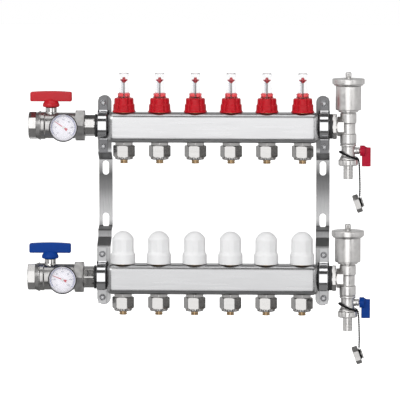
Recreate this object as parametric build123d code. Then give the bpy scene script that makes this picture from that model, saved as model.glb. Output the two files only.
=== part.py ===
"""Six-loop heating manifold: supply and return rails on two wall brackets, with flow meters,
manual caps, ball valves, dial thermometers, air vents and drain valves.

Millimetres, +Z up, +X along the rails, -Y away from the wall. The origin is the centre of the
left bracket's two wall slots, on the wall plane (Y = 0).
"""
import os
from math import cos, radians, tan

from build123d import *

# Layout of the manifold
loops = 6
loop_pitch = 50.0
rail_end_margin = 23.0
bracket_gap = 5.0
supply_height = 100.0
axis_spacing = 210.0
supply_stand_off = 22.0
return_stand_off = 50.0

# Rails: deep-drawn stainless bars, closed at both ends but for a threaded neck
rail_height = 42.0
rail_depth = 36.0
rail_corner = 9.0
rail_end_round = 8.5
rail_wall = 2.0
neck_radius = 15.0
neck_bore = 12.5
neck_length = 15.0
neck_rise = 2.0
rail_hole = 11.0

# Clearances
thread_gap = 0.1
running_gap = 0.1
easy_gap = 0.3

# Height of a nut's corner bevel for each millimetre of its width
bevel_slope = 0.6

# Wall brackets and pipe clamps
strip_width = 19.0
strip_thickness = 2.0
slot_width = 9.0
slot_length = 20.0
slot_spacing = 74.0
bend_radius = 3.0
step_depth = 25.0
lobe_reach = 41.5
screw_reach = 30.5
screw_size = 5.0
screw_head = 9.0
screw_head_height = 3.5
strap_width = 12.0
strap_thickness = 1.5
strap_reach = 39.0
strap_offset = 2.0
liner_thickness = 2.0
liner_width = 14.0
liner_foot_width = 15.6
liner_foot_reach = 20.0

# Flow meters on the supply rail, heights above the rail's top face
seat_flange_radius = 12.5
seat_flange_height = 3.0
seat_neck_radius = 9.0
seat_neck_top = 18.0
knob_base_radius = 16.3
knob_grip_radius = 15.1
knob_grip_top = 11.6
knob_step_radius = 13.6
knob_step_top = 20.0
knob_collar_radius = 9.1
knob_collar_top = 26.7
knob_lobes = 6
knob_groove = 1.3
glass_radius = 6.9
glass_cap_radius = 7.3
glass_cap_height = 4.0
glass_wall = 1.3
glass_top = 55.0
glass_flange = 8.4
glass_flange_height = 1.4
float_radius = 4.0
float_low = 41.5
float_cone = 3.4
float_rim = 1.0
float_stub = 1.5
float_top = 49.2
float_rod = 1.0
float_plate = 5.0
float_plate_height = -6.0

# Manual caps on the return rail
insert_thread = 14.95
insert_top = 11.0
cap_base_radius = 17.3
cap_base_top = 10.4
cap_body_radius = 15.7
cap_shoulder = 17.2
cap_dome_start = 37.5
cap_top_radius = 5.5
cap_height = 47.8
cap_wide_across = 30.3
cap_narrow_across = 31.1
cap_facet_turn = -23.0
cap_wall = 2.4
cap_pin = 1.5

# Outlets under both rails, heights below the rail's bottom face
nipple_across = 24.0
nipple_height = 4.0
nipple_thread = 10.4
nipple_length = 14.3
nipple_bore = 8.0
nut_across = 27.0
nut_top = 4.3
nut_bottom = 20.5
nut_ring_radius = 12.8
nut_slots = 12
nut_slot = 0.9
nut_length = 24.0
nut_turn = -7.0
pipe_radius = 5.35
pipe_bore = 3.8
pipe_length = 29.5
pipe_flange = 9.8
pipe_flange_height = 2.3

# Ball valves on the left, distances from the neck's end face
seal_thickness = 2.3
seal_radius = 16.5
tail_across = 28.0
tail_length = 14.8
tail_flange = 16.5
tail_step = 3.9
union_across = 40.0
union_turn = 53.0
union_length = 12.4
union_lip = 2.1
valve_radius = 17.5
valve_length = 74.1
valve_ring_radius = 20.4
valve_ring_length = 6.4
valve_band_radius = 19.2
valve_band_length = 6.4
valve_barrel_radius = 18.2
valve_end_across = 36.0
valve_end_length = 10.4
valve_thread_step = 1.5
valve_stem_place = 64.0
valve_port = 10.0
valve_socket = 15.1
valve_socket_length = 15.0
ball_radius = 14.0
bonnet_radius = 8.0
bonnet_top = 25.6
stem_radius = 4.0
handle_bar_length = 57.6
handle_bar_low = 33.1
handle_bar_high = 46.5
handle_bar_crown = 0.7
handle_bar_depth = 10.0
handle_hub_radius = 11.8
stem_square = 5.6
stem_square_length = 7.2

# Dial thermometers in front of the ball valves
gauge_place = 44.7
gauge_radius = 20.0
gauge_depth = 12.0
gauge_stand_off = 25.0
gauge_boss = 8.0
gauge_stem = 4.5
gauge_wall = 1.4
gauge_lip = 1.0
dial_height = 6.0
dial_thickness = 0.6
lens_thickness = 1.2
needle_length = 15.0
needle_tail = 6.5
needle_shaft = 0.6
supply_needle_angle = 145.0
return_needle_angle = 158.0

# End assemblies on the right, distances from the neck's end face or the neck's axis
end_seal_thickness = 3.9
end_seal_radius = 17.3
adapter_across = 34.5
adapter_thickness = 5.9
branch_radius = 9.0
branch_across = 24.0
tee_place = 25.7
tee_socket_radius = 11.5
tee_waist_radius = 10.0
tee_top = 18.6
tee_waist_top = 4.3
tee_waist_low = -9.7
tee_bottom = -23.8
tee_bore = 7.5
tee_thread = 9.5
vent_radius = 17.9
vent_neck_radius = 14.0
vent_ring_radius = 10.5
vent_ring_top = 20.2
vent_neck_top = 23.1
vent_body_top = 57.3
vent_cover_radius = 22.7
vent_cover_top = 66.6
vent_wall = 2.5
vent_nipple = 2.6
vent_cap_radius = 4.45
vent_cap_top = 75.9
drain_ring_radius = 11.3
drain_ring_bottom = -27.7
drain_radius = 9.5
drain_bottom = -40.9
drain_skirt_radius = 12.0
drain_skirt_bottom = -46.0
drain_thread = 11.2
drain_thread_length = 6.0
drain_stem_height = -34.0
drain_stem_radius = 3.0
drain_boss_radius = 5.0
drain_boss_reach = 16.0
drain_ball_radius = 7.0
drain_port = 4.5
drain_hub_radius = 7.5
drain_hub_length = 7.1
drain_lever_width = 12.5
drain_lever_set = 2.7
drain_lever_low = -56.0
drain_lever_high = -29.2
drain_lever_depth = 4.0
hose_nut_radius = 13.7
hose_nut_bottom = -54.7
hose_nut_ribs = 18
hose_flange = 1.3
hose_radius = 6.85
hose_bore = 4.5
hose_bottom = -73.7

# Hose cap hanging on its retaining strap, places from the tee's axis and the neck's axis
strap_ring_radius = 13.4
strap_ring_height = -40.3
strap_ring_shift = 0.7
strap_ring_tilt = 21.0
strap_cord_radius = 1.0
hose_cap_radius = 12.85
hose_cap_length = 7.8
hose_cap_boss = 4.2
hose_cap_boss_radius = 7.0
hose_cap_button = 1.2
hose_cap_tilt = 19.0
hose_cap_centre = (13.3, -108.2)
hose_cap_bore = 10.2
hose_cap_roof = 2.0
strap_route = [(14.0, -44.6), (15.4, -51.0), (15.9, -62.0), (16.3, -75.0), (16.6, -88.0), (16.1, -100.0)]

# Places worked out from the sizes above
rail_length = (loops - 1) * loop_pitch + 2 * rail_end_margin
bracket_spacing = rail_length + 2 * bracket_gap
supply_y = -(supply_stand_off + strip_thickness + liner_thickness + neck_radius)
return_y = -(return_stand_off + strip_thickness + liner_thickness + neck_radius)
return_height = supply_height - axis_spacing
left_end = bracket_gap - neck_length
right_end = bracket_spacing - bracket_gap + neck_length
rail_top = rail_height / 2
rail_places = {"supply": (supply_y, supply_height), "return": (return_y, return_height)}
loop_places = [bracket_gap + rail_end_margin + loop_pitch * n for n in range(loops)]


def turned(points):
    """A solid of revolution about Z from (radius, height) points; repeated points are dropped."""
    outline = [point for number, point in enumerate(points) if point != points[number - 1]]
    return revolve(make_face(Plane.XZ * Polyline(*outline, close=True)), Axis.Z)


def ring_of(shape, radius, count):
    """Copies of a shape evenly spaced on a circle about Z, as one compound."""
    return Compound([place * shape for place in PolarLocations(radius, count)])


def disc(radius, low, high):
    """A cylinder about Z between two heights."""
    return Pos(0, 0, (low + high) / 2) * Cylinder(radius, high - low)


def prism(across, sides, low, high, turn=0.0):
    """A regular prism about Z, measured across its flats."""
    outline = RegularPolygon(across / 2, sides, major_radius=False, rotation=turn)
    return Pos(0, 0, low) * extrude(outline, high - low)


def chamfered_prism(across, sides, low, high, bevel_low, bevel_high, turn=0.0):
    """A prism whose corners are turned away at the ends, as a nut's are."""
    corner = across / 2 / cos(radians(180 / sides))
    envelope = turned([
        (0, low),
        (corner - bevel_low, low),
        (corner, low + bevel_low * bevel_slope),
        (corner, high - bevel_high * bevel_slope),
        (corner - bevel_high, high),
        (0, high),
    ])
    return prism(across, sides, low, high, turn) & envelope


def along_x(shape):
    """Turn a shape built about Z so that its Z points along +X."""
    return Rot(0, 90, 0) * shape


def to_front(shape):
    """Turn a shape built about Z so that its Z points to the front, -Y."""
    return Rot(90, 0, 0) * shape


def at_axis(shape, rail):
    """Put a shape built at a neck's axis on the supply or return rail."""
    y, z = rail_places[rail]
    return Pos(0, y, z) * shape


def at_loop(shape, rail, place):
    """Put a shape built about Z, with its zero at the rail's middle, at one loop."""
    y, z = rail_places[rail]
    return Pos(place, y, z - neck_rise) * shape


def on_both(shape):
    return [at_axis(shape, "supply"), at_axis(shape, "return")]


def at_loops(shape, rail):
    return [at_loop(shape, rail, place) for place in loop_places]


def rail():
    """A hollow bar with rounded corners and ends, a neck at each end and a hole at each valve."""
    def bar(inset):
        section = RectangleRounded(rail_depth - 2 * inset, rail_height - 2 * inset, rail_corner - inset)
        body = extrude(Plane.YZ * section, rail_length - 2 * inset)
        ends = body.faces().sort_by(Axis.X)
        body = fillet(ends[0].edges() + ends[-1].edges(), rail_end_round - inset)
        return Pos(bracket_gap + inset, 0, -neck_rise) * body

    necks = along_x(disc(neck_radius, left_end, right_end))
    middle = along_x(disc(neck_radius, bracket_gap + rail_wall, bracket_gap + rail_length - rail_wall))
    body = bar(0) + (necks - middle) - bar(rail_wall)
    body -= along_x(disc(neck_bore, left_end, bracket_gap + rail_end_round))
    body -= along_x(disc(neck_bore, right_end - neck_length - rail_end_round, right_end))
    for place in loop_places:
        body -= Pos(place, 0, -neck_rise) * disc(rail_hole, -rail_height, rail_height)
    mouth = body.faces().filter_by(GeomType.PLANE).sort_by(Axis.X)
    return chamfer(mouth[0].edges() + mouth[-1].edges(), 0.8)


def flow_seat():
    """Threaded seat in the rail's top hole; it guides the float's rod and carries the glass."""
    top = rail_top
    body = turned([
        (float_rod + running_gap, top - 9),
        (rail_hole - thread_gap, top - 9),
        (rail_hole - thread_gap, top),
        (seat_flange_radius, top),
        (seat_flange_radius, top + seat_flange_height),
        (seat_neck_radius, top + seat_flange_height),
        (seat_neck_radius, top + seat_neck_top),
        (glass_radius - glass_wall, top + seat_neck_top),
        (glass_radius - glass_wall, top - 5),
        (float_rod + running_gap, top - 5),
    ])
    return body


def sight_glass():
    """Clear tube with a wider closed top, on a flange that the knob covers."""
    low = rail_top + seat_neck_top
    high = rail_top + glass_top
    inner = glass_radius - glass_wall
    return turned([
        (inner, low),
        (glass_flange, low),
        (glass_flange, low + glass_flange_height),
        (glass_radius, low + glass_flange_height),
        (glass_radius, high - glass_cap_height - 0.6),
        (glass_cap_radius, high - glass_cap_height),
        (glass_cap_radius, high - 1.0),
        (glass_cap_radius - 1.0, high),
        (0, high),
        (0, high - glass_wall),
        (inner, high - glass_wall),
    ])


def flow_knob():
    """Red knob of six lobes: a flared base, a wide and a narrow grip and a collar round the glass."""
    top = rail_top
    low = top + easy_gap
    shoulder = top + seat_flange_height
    roof = top + seat_neck_top + glass_flange_height + easy_gap
    step = top + knob_grip_top
    body = turned([
        (seat_flange_radius + 0.4, low),
        (knob_base_radius, low),
        (knob_base_radius, low + 1.0),
        (knob_grip_radius, low + 2.2),
        (knob_grip_radius, step - 1.0),
        (knob_grip_radius - 1.0, step),
        (knob_step_radius, step),
        (knob_step_radius, top + knob_step_top - 1.2),
        (knob_step_radius - 1.2, top + knob_step_top),
        (knob_collar_radius + 0.5, top + knob_step_top),
        (knob_collar_radius, top + knob_step_top + 0.8),
        (knob_collar_radius, top + knob_collar_top - 0.6),
        (knob_collar_radius - 0.6, top + knob_collar_top),
        (glass_cap_radius + easy_gap, top + knob_collar_top),
        (glass_cap_radius + easy_gap, roof),
        (seat_neck_radius + running_gap, roof),
        (seat_neck_radius + running_gap, shoulder),
        (seat_flange_radius + 0.4, shoulder),
    ])
    shallow = knob_groove / 4
    wide = ring_of(disc(knob_groove, low + 2.2, step), knob_grip_radius + shallow, knob_lobes)
    narrow = ring_of(disc(knob_groove, step, top + knob_step_top), knob_step_radius + shallow, knob_lobes)
    return body - wide - narrow


def flow_float():
    """Red umbrella-shaped pointer on a thin rod, with the plate that the flow pushes down."""
    top = rail_top
    plate = float_plate_height
    rim = top + float_low + float_cone
    return turned([
        (0, plate),
        (float_plate, plate),
        (float_plate, plate + 1.5),
        (float_rod, plate + 2.5),
        (float_rod, top + float_low),
        (float_radius, rim),
        (float_radius, rim + float_rim),
        (float_stub, rim + float_rim),
        (float_stub, top + float_top),
        (0, top + float_top),
    ])


def cap_insert():
    """Valve insert under a manual cap: threaded body, wide cap thread, pin and closing disc."""
    top = rail_top
    return turned([
        (0, -rail_top + rail_wall + 0.5),
        (nipple_bore + 0.8, -rail_top + rail_wall + 0.5),
        (nipple_bore + 0.8, -rail_top + rail_wall + 3.0),
        (cap_pin * 1.5, -rail_top + rail_wall + 4.0),
        (cap_pin * 1.5, top - 8),
        (rail_hole - thread_gap, top - 8),
        (rail_hole - thread_gap, top),
        (insert_thread, top),
        (insert_thread, top + insert_top),
        (6.0, top + insert_top),
        (4.5, top + insert_top + 2),
        (cap_pin, top + insert_top + 2),
        (cap_pin, top + insert_top + 4),
        (0, top + insert_top + 4),
    ])


def return_cap():
    """White manual cap: a round skirt, a shoulder and a coned grip with facets of two widths."""
    top = rail_top
    low = top + 0.5
    bore = insert_thread + thread_gap
    room = cap_body_radius - cap_wall
    body = turned([
        (bore, low),
        (cap_base_radius, low),
        (cap_base_radius, top + cap_base_top),
        (cap_body_radius, top + cap_shoulder),
        (cap_body_radius, top + cap_dome_start),
        (cap_body_radius - 4.8, top + cap_height - 3.6),
        (cap_top_radius, top + cap_height),
        (0, top + cap_height),
        (0, top + cap_height - 3),
        (cap_top_radius - 1.5, top + cap_height - 3),
        (room, top + cap_dome_start - 2),
        (room, top + insert_top + 2.5),
        (bore, top + insert_top + 0.5),
    ])
    pusher = disc(cap_pin * 2, top + insert_top + 4, top + cap_height - 2)
    grip = prism(cap_wide_across, 6, top + cap_shoulder, top + cap_height, cap_facet_turn)
    grip &= prism(cap_narrow_across, 6, top + cap_shoulder, top + cap_height, cap_facet_turn + 30)
    skirt = disc(2 * cap_base_radius, low, top + cap_shoulder)
    return (body & (grip + skirt)) + pusher


def nipple():
    """Outlet nipple: a spigot in the rail's wall, a hexagon and the thread for the pipe nut."""
    base = -rail_top
    body = turned([
        (nipple_bore, base + rail_wall),
        (rail_hole - thread_gap, base + rail_wall),
        (rail_hole - thread_gap, base),
        (nipple_thread, base),
        (nipple_thread, base - nipple_length),
        (nipple_bore, base - nipple_length),
    ])
    flange = chamfered_prism(nipple_across, 6, base - nipple_height, base, 0.8, 0.0, 10)
    return body + (flange - disc(nipple_thread, base - rail_height, base))


def pipe_nut():
    """Compression nut: a hexagon, a slotted ring under it and a lip that holds the insert."""
    base = -rail_top
    lip = base - nipple_length - pipe_flange_height - 0.2
    thread = nipple_thread + thread_gap
    hexagon = chamfered_prism(nut_across, 6, base - nut_bottom, base - nut_top, 1.4, 1.4, nut_turn)
    ring = turned([
        (0, base - nut_length),
        (nut_ring_radius - 1.0, base - nut_length),
        (nut_ring_radius, base - nut_length + 1.0),
        (nut_ring_radius, base - nut_bottom),
        (0, base - nut_bottom),
    ])
    slots = ring_of(disc(nut_slot, base - nut_length, base - nut_bottom), nut_ring_radius, nut_slots)
    bore = disc(thread, lip, base) + disc(pipe_radius + 1.9, base - nut_length, lip)
    return hexagon + (ring - slots) - bore


def pipe_insert():
    """Pipe insert: a flange clamped on the nipple's end and a tube that the pipe slides over."""
    high = -rail_top - nipple_length
    low = -rail_top - pipe_length
    return turned([
        (pipe_bore, high),
        (pipe_flange, high),
        (pipe_flange, high - pipe_flange_height),
        (pipe_radius, high - pipe_flange_height),
        (pipe_radius, low),
        (pipe_bore, low),
    ])


def bracket():
    """Wall bracket: one bent strip with round ends, two wall slots and four clamp screw holes."""
    half = strip_thickness / 2
    supply = -(supply_stand_off + half)
    step = -step_depth
    back = -(return_stand_off + half)
    shoulder = supply_height - lobe_reach
    path = FilletPolyline(
        (supply, supply_height + lobe_reach),
        (supply, shoulder + 2.1),
        (-half, shoulder - 8.5),
        (-half, -45.5),
        (step, -49.0),
        (step, -59.0),
        (back, -69.0),
        (back, return_height - lobe_reach + 0.5),
        radius=bend_radius,
    )
    side = make_face(offset(path, half, kind=Kind.INTERSECTION, side=Side.BOTH).edges())
    strip = extrude(Plane.YZ * side, strip_width / 2, both=True)
    height = axis_spacing + 2 * lobe_reach - 0.5
    outline = RectangleRounded(strip_width, height, strip_width / 2 - 0.05)
    middle = (supply_height + return_height + 0.5) / 2
    body = strip & (Pos(0, 0, middle) * extrude(Plane.XZ * outline, 2 * return_stand_off))
    for place in (-slot_spacing / 2, slot_spacing / 2):
        slot = SlotOverall(slot_length, slot_width, rotation=90)
        body -= Pos(0, strip_thickness, place) * extrude(Plane.XZ * slot, 4 * strip_thickness)
    return body


def screw_places():
    return [
        (rail_y, axis_height + side * screw_reach)
        for rail_y, axis_height in rail_places.values()
        for side in (-1, 1)
    ]


def placed_bracket(centre, side):
    """The bracket at one end, with its clamp screw holes under the straps."""
    body = Pos(centre, 0, 0) * bracket()
    for rail_y, height in screw_places():
        hole = to_front(disc(screw_size / 2, -rail_y - 60, -rail_y))
        body -= Pos(centre + side * strap_offset, 0, height) * hole
    return body


def strap():
    """Omega strap round a neck, about X, with two feet on the bracket's face."""
    leg = neck_radius + liner_thickness + strap_thickness / 2
    foot = neck_radius + liner_thickness - strap_thickness / 2
    path = FilletPolyline(
        (foot, strap_reach),
        (foot, leg),
        (-leg, leg),
        (-leg, -leg),
        (foot, -leg),
        (foot, -strap_reach),
        radius=[2.5, leg - 0.05, leg - 0.05, 2.5],
    )
    side = make_face(offset(path, strap_thickness / 2, kind=Kind.INTERSECTION, side=Side.BOTH).edges())
    body = extrude(Plane.YZ * side, strap_width / 2, both=True)
    for height in (-screw_reach, screw_reach):
        body -= Pos(0, 0, height) * to_front(disc(screw_size / 2 + 0.2, -2 * leg, 2 * leg))
    return body


def liner():
    """Rubber liner: a ring round the neck, flat at the bracket, with wider pads under the feet."""
    outer = neck_radius + liner_thickness - 0.05
    ring = along_x(disc(outer, -liner_width / 2, liner_width / 2))
    back = Pos(0, outer / 2, 0) * Box(liner_width, outer, 2 * outer)
    pads = Pos(0, outer - 1.5, 0) * Box(liner_foot_width, 3.0, 2 * liner_foot_reach)
    room = Box(strap_width + 0.4, 4 * outer, 4 * outer)
    inside = Box(strap_width + 0.4, 2 * outer, 2 * outer)
    body = ring + back + (pads - (room - inside))
    body &= Box(2 * liner_foot_width, 2 * outer, 3 * liner_foot_reach)
    return body - along_x(disc(neck_radius + 0.05, -liner_foot_width, liner_foot_width))


def clamp_screw():
    """Pan-head screw with a cross recess, pointing to the front, with its head's seat at zero."""
    recess = Box(5.2, 1.2, 2.6) + Box(1.2, 5.2, 2.6)
    head = turned([
        (0, 0),
        (screw_head / 2, 0),
        (screw_head / 2, screw_head_height - 1.4),
        (screw_head / 2 - 1.3, screw_head_height),
        (0, screw_head_height),
    ])
    shank = disc(screw_size / 2 - thread_gap, -strap_thickness - strip_thickness - 3, 0)
    return to_front(head - Pos(0, 0, screw_head_height) * recess + shank)


def clamps():
    """Places of the four clamps: (X, rail name)."""
    ends = (-strap_offset, bracket_spacing + strap_offset)
    return [(place, name) for place in ends for name in rail_places]


def clamp_screws():
    seat = neck_radius + liner_thickness - strap_thickness
    screws = []
    for place, name in clamps():
        for height in (-screw_reach, screw_reach):
            screws.append(at_axis(Pos(place, seat, height) * clamp_screw(), name))
    return screws


def valve_body():
    """Ball valve body about X: octagon socket, flared ring, band, barrel, bonnet, boss and thread."""
    end = left_end - seal_thickness - tail_length - tail_step
    thread = left_end - seal_thickness - tail_length - union_length - valve_thread_step
    far = end - valve_length
    socket = far + valve_end_length
    ring = socket + valve_ring_length
    band = ring + valve_band_length
    stem = left_end - valve_stem_place
    body = along_x(turned([
        (0, socket),
        (valve_end_across / 2, socket),
        (valve_ring_radius, ring - 0.8),
        (valve_ring_radius, ring),
        (valve_band_radius, ring + 0.4),
        (valve_band_radius, band - 0.6),
        (valve_barrel_radius, band),
        (valve_barrel_radius, thread),
        (valve_radius - thread_gap, thread),
        (valve_radius - thread_gap, end),
        (0, end),
    ]))
    body += along_x(chamfered_prism(valve_end_across, 8, far, socket, 1.6, 0.0, 22.5))
    body += Pos(stem, 0, 0) * disc(bonnet_radius, 0, bonnet_top)
    boss = to_front(disc(gauge_boss, 0, gauge_stand_off))
    body += Pos(left_end - gauge_place, 0, 0) * boss
    body -= along_x(disc(valve_port, far, end))
    body -= along_x(disc(valve_socket, far, far + valve_socket_length))
    body -= Pos(stem, 0, 0) * Sphere(ball_radius + easy_gap)
    body -= Pos(stem, 0, 0) * disc(stem_radius + running_gap, 0, bonnet_top)
    well = to_front(disc(gauge_stem + thread_gap, 0, gauge_stand_off))
    return body - Pos(left_end - gauge_place, 0, 0) * well


def valve_ball():
    """Ball with its port along X and a slot for the stem's tang."""
    ball = Sphere(ball_radius) - along_x(disc(valve_port, -ball_radius, ball_radius))
    slot = Pos(0, 0, ball_radius) * Box(9.4, 3.4, 4.0)
    return Pos(left_end - valve_stem_place, 0, 0) * (ball - slot)


def valve_stem():
    """Stem with a tang in the ball and a square top in the handle."""
    tang = Pos(0, 0, ball_radius - 0.2) * Box(9.0, 3.2, 3.2)
    tang &= disc(stem_radius, 0, ball_radius * 2)
    shaft = disc(stem_radius, ball_radius + 1.0, bonnet_top + 1)
    square = Pos(0, 0, bonnet_top + stem_square_length / 2) * Box(stem_square, stem_square, stem_square_length)
    return Pos(left_end - valve_stem_place, 0, 0) * (tang + shaft + square)


def valve_handle():
    """T-handle: a domed hub on the stem and a straight bar with a slightly crowned top."""
    hub = turned([
        (0, bonnet_top + 0.3),
        (handle_hub_radius, bonnet_top + 0.3),
        (handle_hub_radius, bonnet_top + 3.4),
        (handle_hub_radius - 1.6, bonnet_top + 6.0),
        (handle_hub_radius - 4.6, bonnet_top + 9.4),
        (0, bonnet_top + 12.0),
    ])
    half = handle_bar_length / 2
    shoulder = handle_bar_high - handle_bar_crown
    outline = make_face([
        ThreePointArc((-half, shoulder), (0, handle_bar_high), (half, shoulder)),
        Polyline((half, shoulder), (half, handle_bar_low), (-half, handle_bar_low), (-half, shoulder)),
    ])
    bar = extrude(Plane.XZ * outline, handle_bar_depth / 2, both=True)
    bar = fillet(bar.edges(), 1.0)
    width = stem_square + 0.2
    socket = Pos(0, 0, bonnet_top + stem_square_length / 2) * Box(width, width, stem_square_length + 0.2)
    body = hub + bar - socket
    body -= disc(stem_radius + 0.1, 0, bonnet_top + 1)
    return Pos(left_end - valve_stem_place, 0, 0) * body


def tailpiece():
    """Union tailpiece: a thread in the rail's neck, an octagon and a flange in the union nut."""
    near = left_end - seal_thickness
    far = near - tail_length
    flange = far - tail_step
    body = along_x(turned([
        (valve_port, flange),
        (tail_flange, flange),
        (tail_flange, flange + 1.6),
        (12.6, flange + 1.6),
        (12.6, near),
        (neck_bore - thread_gap, near),
        (neck_bore - thread_gap, near + seal_thickness + 9),
        (valve_port, near + seal_thickness + 9),
    ]))
    octagon = along_x(chamfered_prism(tail_across, 8, far + 0.3, near, 1.2, 1.2, 22.5))
    return body + (octagon - along_x(disc(12.0, far - 1, near + 1)))


def union_nut():
    """Union nut about X, a large hexagon chamfered on its outer side."""
    near = left_end - seal_thickness - tail_length
    far = near - union_length
    body = chamfered_prism(union_across, 6, far, near, 2.4, 1.4, union_turn)
    bore = disc(valve_radius, far, near - union_lip) + disc(13.0, far, near)
    return along_x(body - bore)


def left_seal():
    return along_x(disc(seal_radius, left_end - seal_thickness, left_end)
                   - disc(neck_bore, left_end - seal_thickness, left_end))


def gauge_at(shape):
    """Put a shape built about a gauge's own axis in front of the valve body."""
    return Pos(left_end - gauge_place, -gauge_stand_off, 0) * to_front(shape)


def gauge_case():
    """Thermometer case: a shallow cup with a rolled rim and the stem of its well behind."""
    rim = gauge_depth
    inner = gauge_radius - gauge_wall
    cup = turned([
        (0, 0),
        (gauge_radius - 2.4, 0),
        (gauge_radius - 0.9, 1.5),
        (gauge_radius - 0.9, rim - 3.0),
        (gauge_radius, rim - 2.4),
        (gauge_radius, rim - 0.7),
        (gauge_radius - 0.7, rim),
        (inner - 0.8, rim),
        (inner - 0.8, rim - gauge_lip),
        (inner, rim - gauge_lip),
        (inner, dial_height),
        (inner - 1.2, dial_height),
        (inner - 1.2, 1.5),
        (0, 1.5),
    ])
    return gauge_at(cup + disc(gauge_stem, -gauge_stand_off + 9, 0))


def gauge_dial():
    """Dial plate with the needle shaft's hole."""
    inner = gauge_radius - gauge_wall
    plate = disc(inner - 0.1, dial_height, dial_height + dial_thickness)
    return gauge_at(plate - disc(needle_shaft + running_gap, 0, gauge_depth))


def gauge_lens():
    inner = gauge_radius - gauge_wall
    seat = gauge_depth - gauge_lip
    return gauge_at(disc(inner - 0.1, seat - lens_thickness, seat))


def needle(angle):
    """Pointer with a tapering tip, a wide tail and a hub on its shaft, at its reading."""
    low = dial_height + dial_thickness + 0.5
    blade = make_face(Polyline(
        (-needle_tail, -1.6),
        (-1.6, -0.8),
        (needle_length, -0.25),
        (needle_length, 0.25),
        (-1.6, 0.8),
        (-needle_tail, 1.6),
        close=True,
    ))
    body = Pos(0, 0, low) * extrude(blade, 0.5)
    body += disc(2.0, low, low + 1.2) + disc(needle_shaft, 3.0, low)
    return gauge_at(Rot(0, 0, angle) * body)


def end_seal():
    return along_x(disc(end_seal_radius, right_end, right_end + end_seal_thickness)
                   - disc(neck_bore, right_end, right_end + end_seal_thickness))


def end_adapter():
    """Adapter: a thread in the neck, an octagon against the seal and a thread in the tee."""
    seat = right_end + end_seal_thickness
    far = seat + adapter_thickness
    body = along_x(turned([
        (5.0, right_end - 10),
        (neck_bore - thread_gap, right_end - 10),
        (neck_bore - thread_gap, seat),
        (branch_radius, seat),
        (branch_radius - thread_gap, far + 6),
        (5.0, far + 6),
    ]))
    octagon = along_x(chamfered_prism(adapter_across, 8, seat, far, 1.4, 1.4, 22.5))
    return body + (octagon - along_x(disc(branch_radius - 0.5, seat - 1, far + 1)))


def at_tee(shape):
    """Put a shape built about the tee's axis in place."""
    return Pos(right_end + tee_place, 0, 0) * shape


def tee_body():
    """Tee: two threaded sockets with a waist between them and a hexagon branch to the rail."""
    body = turned([
        (0, tee_bottom),
        (tee_socket_radius - 0.8, tee_bottom),
        (tee_socket_radius, tee_bottom + 0.8),
        (tee_socket_radius, tee_waist_low - 1.0),
        (tee_waist_radius, tee_waist_low),
        (tee_waist_radius, tee_waist_top),
        (tee_socket_radius, tee_waist_top + 1.0),
        (tee_socket_radius, tee_top - 0.8),
        (tee_socket_radius - 0.8, tee_top),
        (0, tee_top),
    ])
    reach = tee_place - end_seal_thickness - adapter_thickness - 0.3
    branch = chamfered_prism(branch_across, 6, -reach, -4, 1.2, 0.0, 0)
    body += along_x(branch)
    body -= disc(tee_bore, tee_bottom, tee_top)
    body -= disc(tee_thread, tee_top - 9, tee_top) + disc(tee_thread, tee_bottom, tee_bottom + 9)
    body -= along_x(disc(branch_radius, -reach, -reach + 6.4) + disc(5.0, -reach, 0))
    return at_tee(body)


def vent_body():
    """Air vent body: a threaded foot, a ring, a neck and a hollow float chamber."""
    floor = vent_neck_top
    return at_tee(turned([
        (4.0, tee_top - 8),
        (tee_thread - thread_gap, tee_top - 8),
        (tee_thread - thread_gap, tee_top),
        (vent_ring_radius, tee_top),
        (vent_ring_radius, vent_ring_top),
        (vent_neck_radius, vent_ring_top),
        (vent_neck_radius, floor),
        (vent_radius - 0.8, floor),
        (vent_radius, floor + 0.8),
        (vent_radius, vent_body_top),
        (vent_radius - vent_wall, vent_body_top),
        (vent_radius - vent_wall, floor + vent_wall),
        (4.0, floor + vent_wall),
    ]))


def vent_cover():
    """Flanged cover with a sloping underside edge, a shallow crown and the vent nipple."""
    low = vent_body_top
    return at_tee(turned([
        (0, low - 2),
        (vent_radius - vent_wall - 0.1, low - 2),
        (vent_radius - vent_wall - 0.1, low),
        (vent_radius + 1.0, low),
        (vent_cover_radius, low + 4.0),
        (vent_cover_radius, vent_cover_top - 1.6),
        (vent_cover_radius - 1.2, vent_cover_top - 0.4),
        (vent_cover_radius - 4.0, vent_cover_top),
        (vent_nipple, vent_cover_top),
        (vent_nipple, vent_cap_top - 3.0),
        (0, vent_cap_top - 3.0),
    ]))


def vent_cap():
    """Small screw cap of the air vent, waisted at its foot."""
    bore = vent_nipple + running_gap
    low = vent_cover_top + easy_gap
    return at_tee(turned([
        (bore, low),
        (vent_cap_radius - 0.9, low),
        (vent_cap_radius - 0.9, low + 2.2),
        (vent_cap_radius, low + 3.0),
        (vent_cap_radius, vent_cap_top - 0.8),
        (vent_cap_radius - 0.8, vent_cap_top),
        (0, vent_cap_top),
        (0, vent_cap_top - 2.6),
        (bore, vent_cap_top - 2.6),
    ]))


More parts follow.
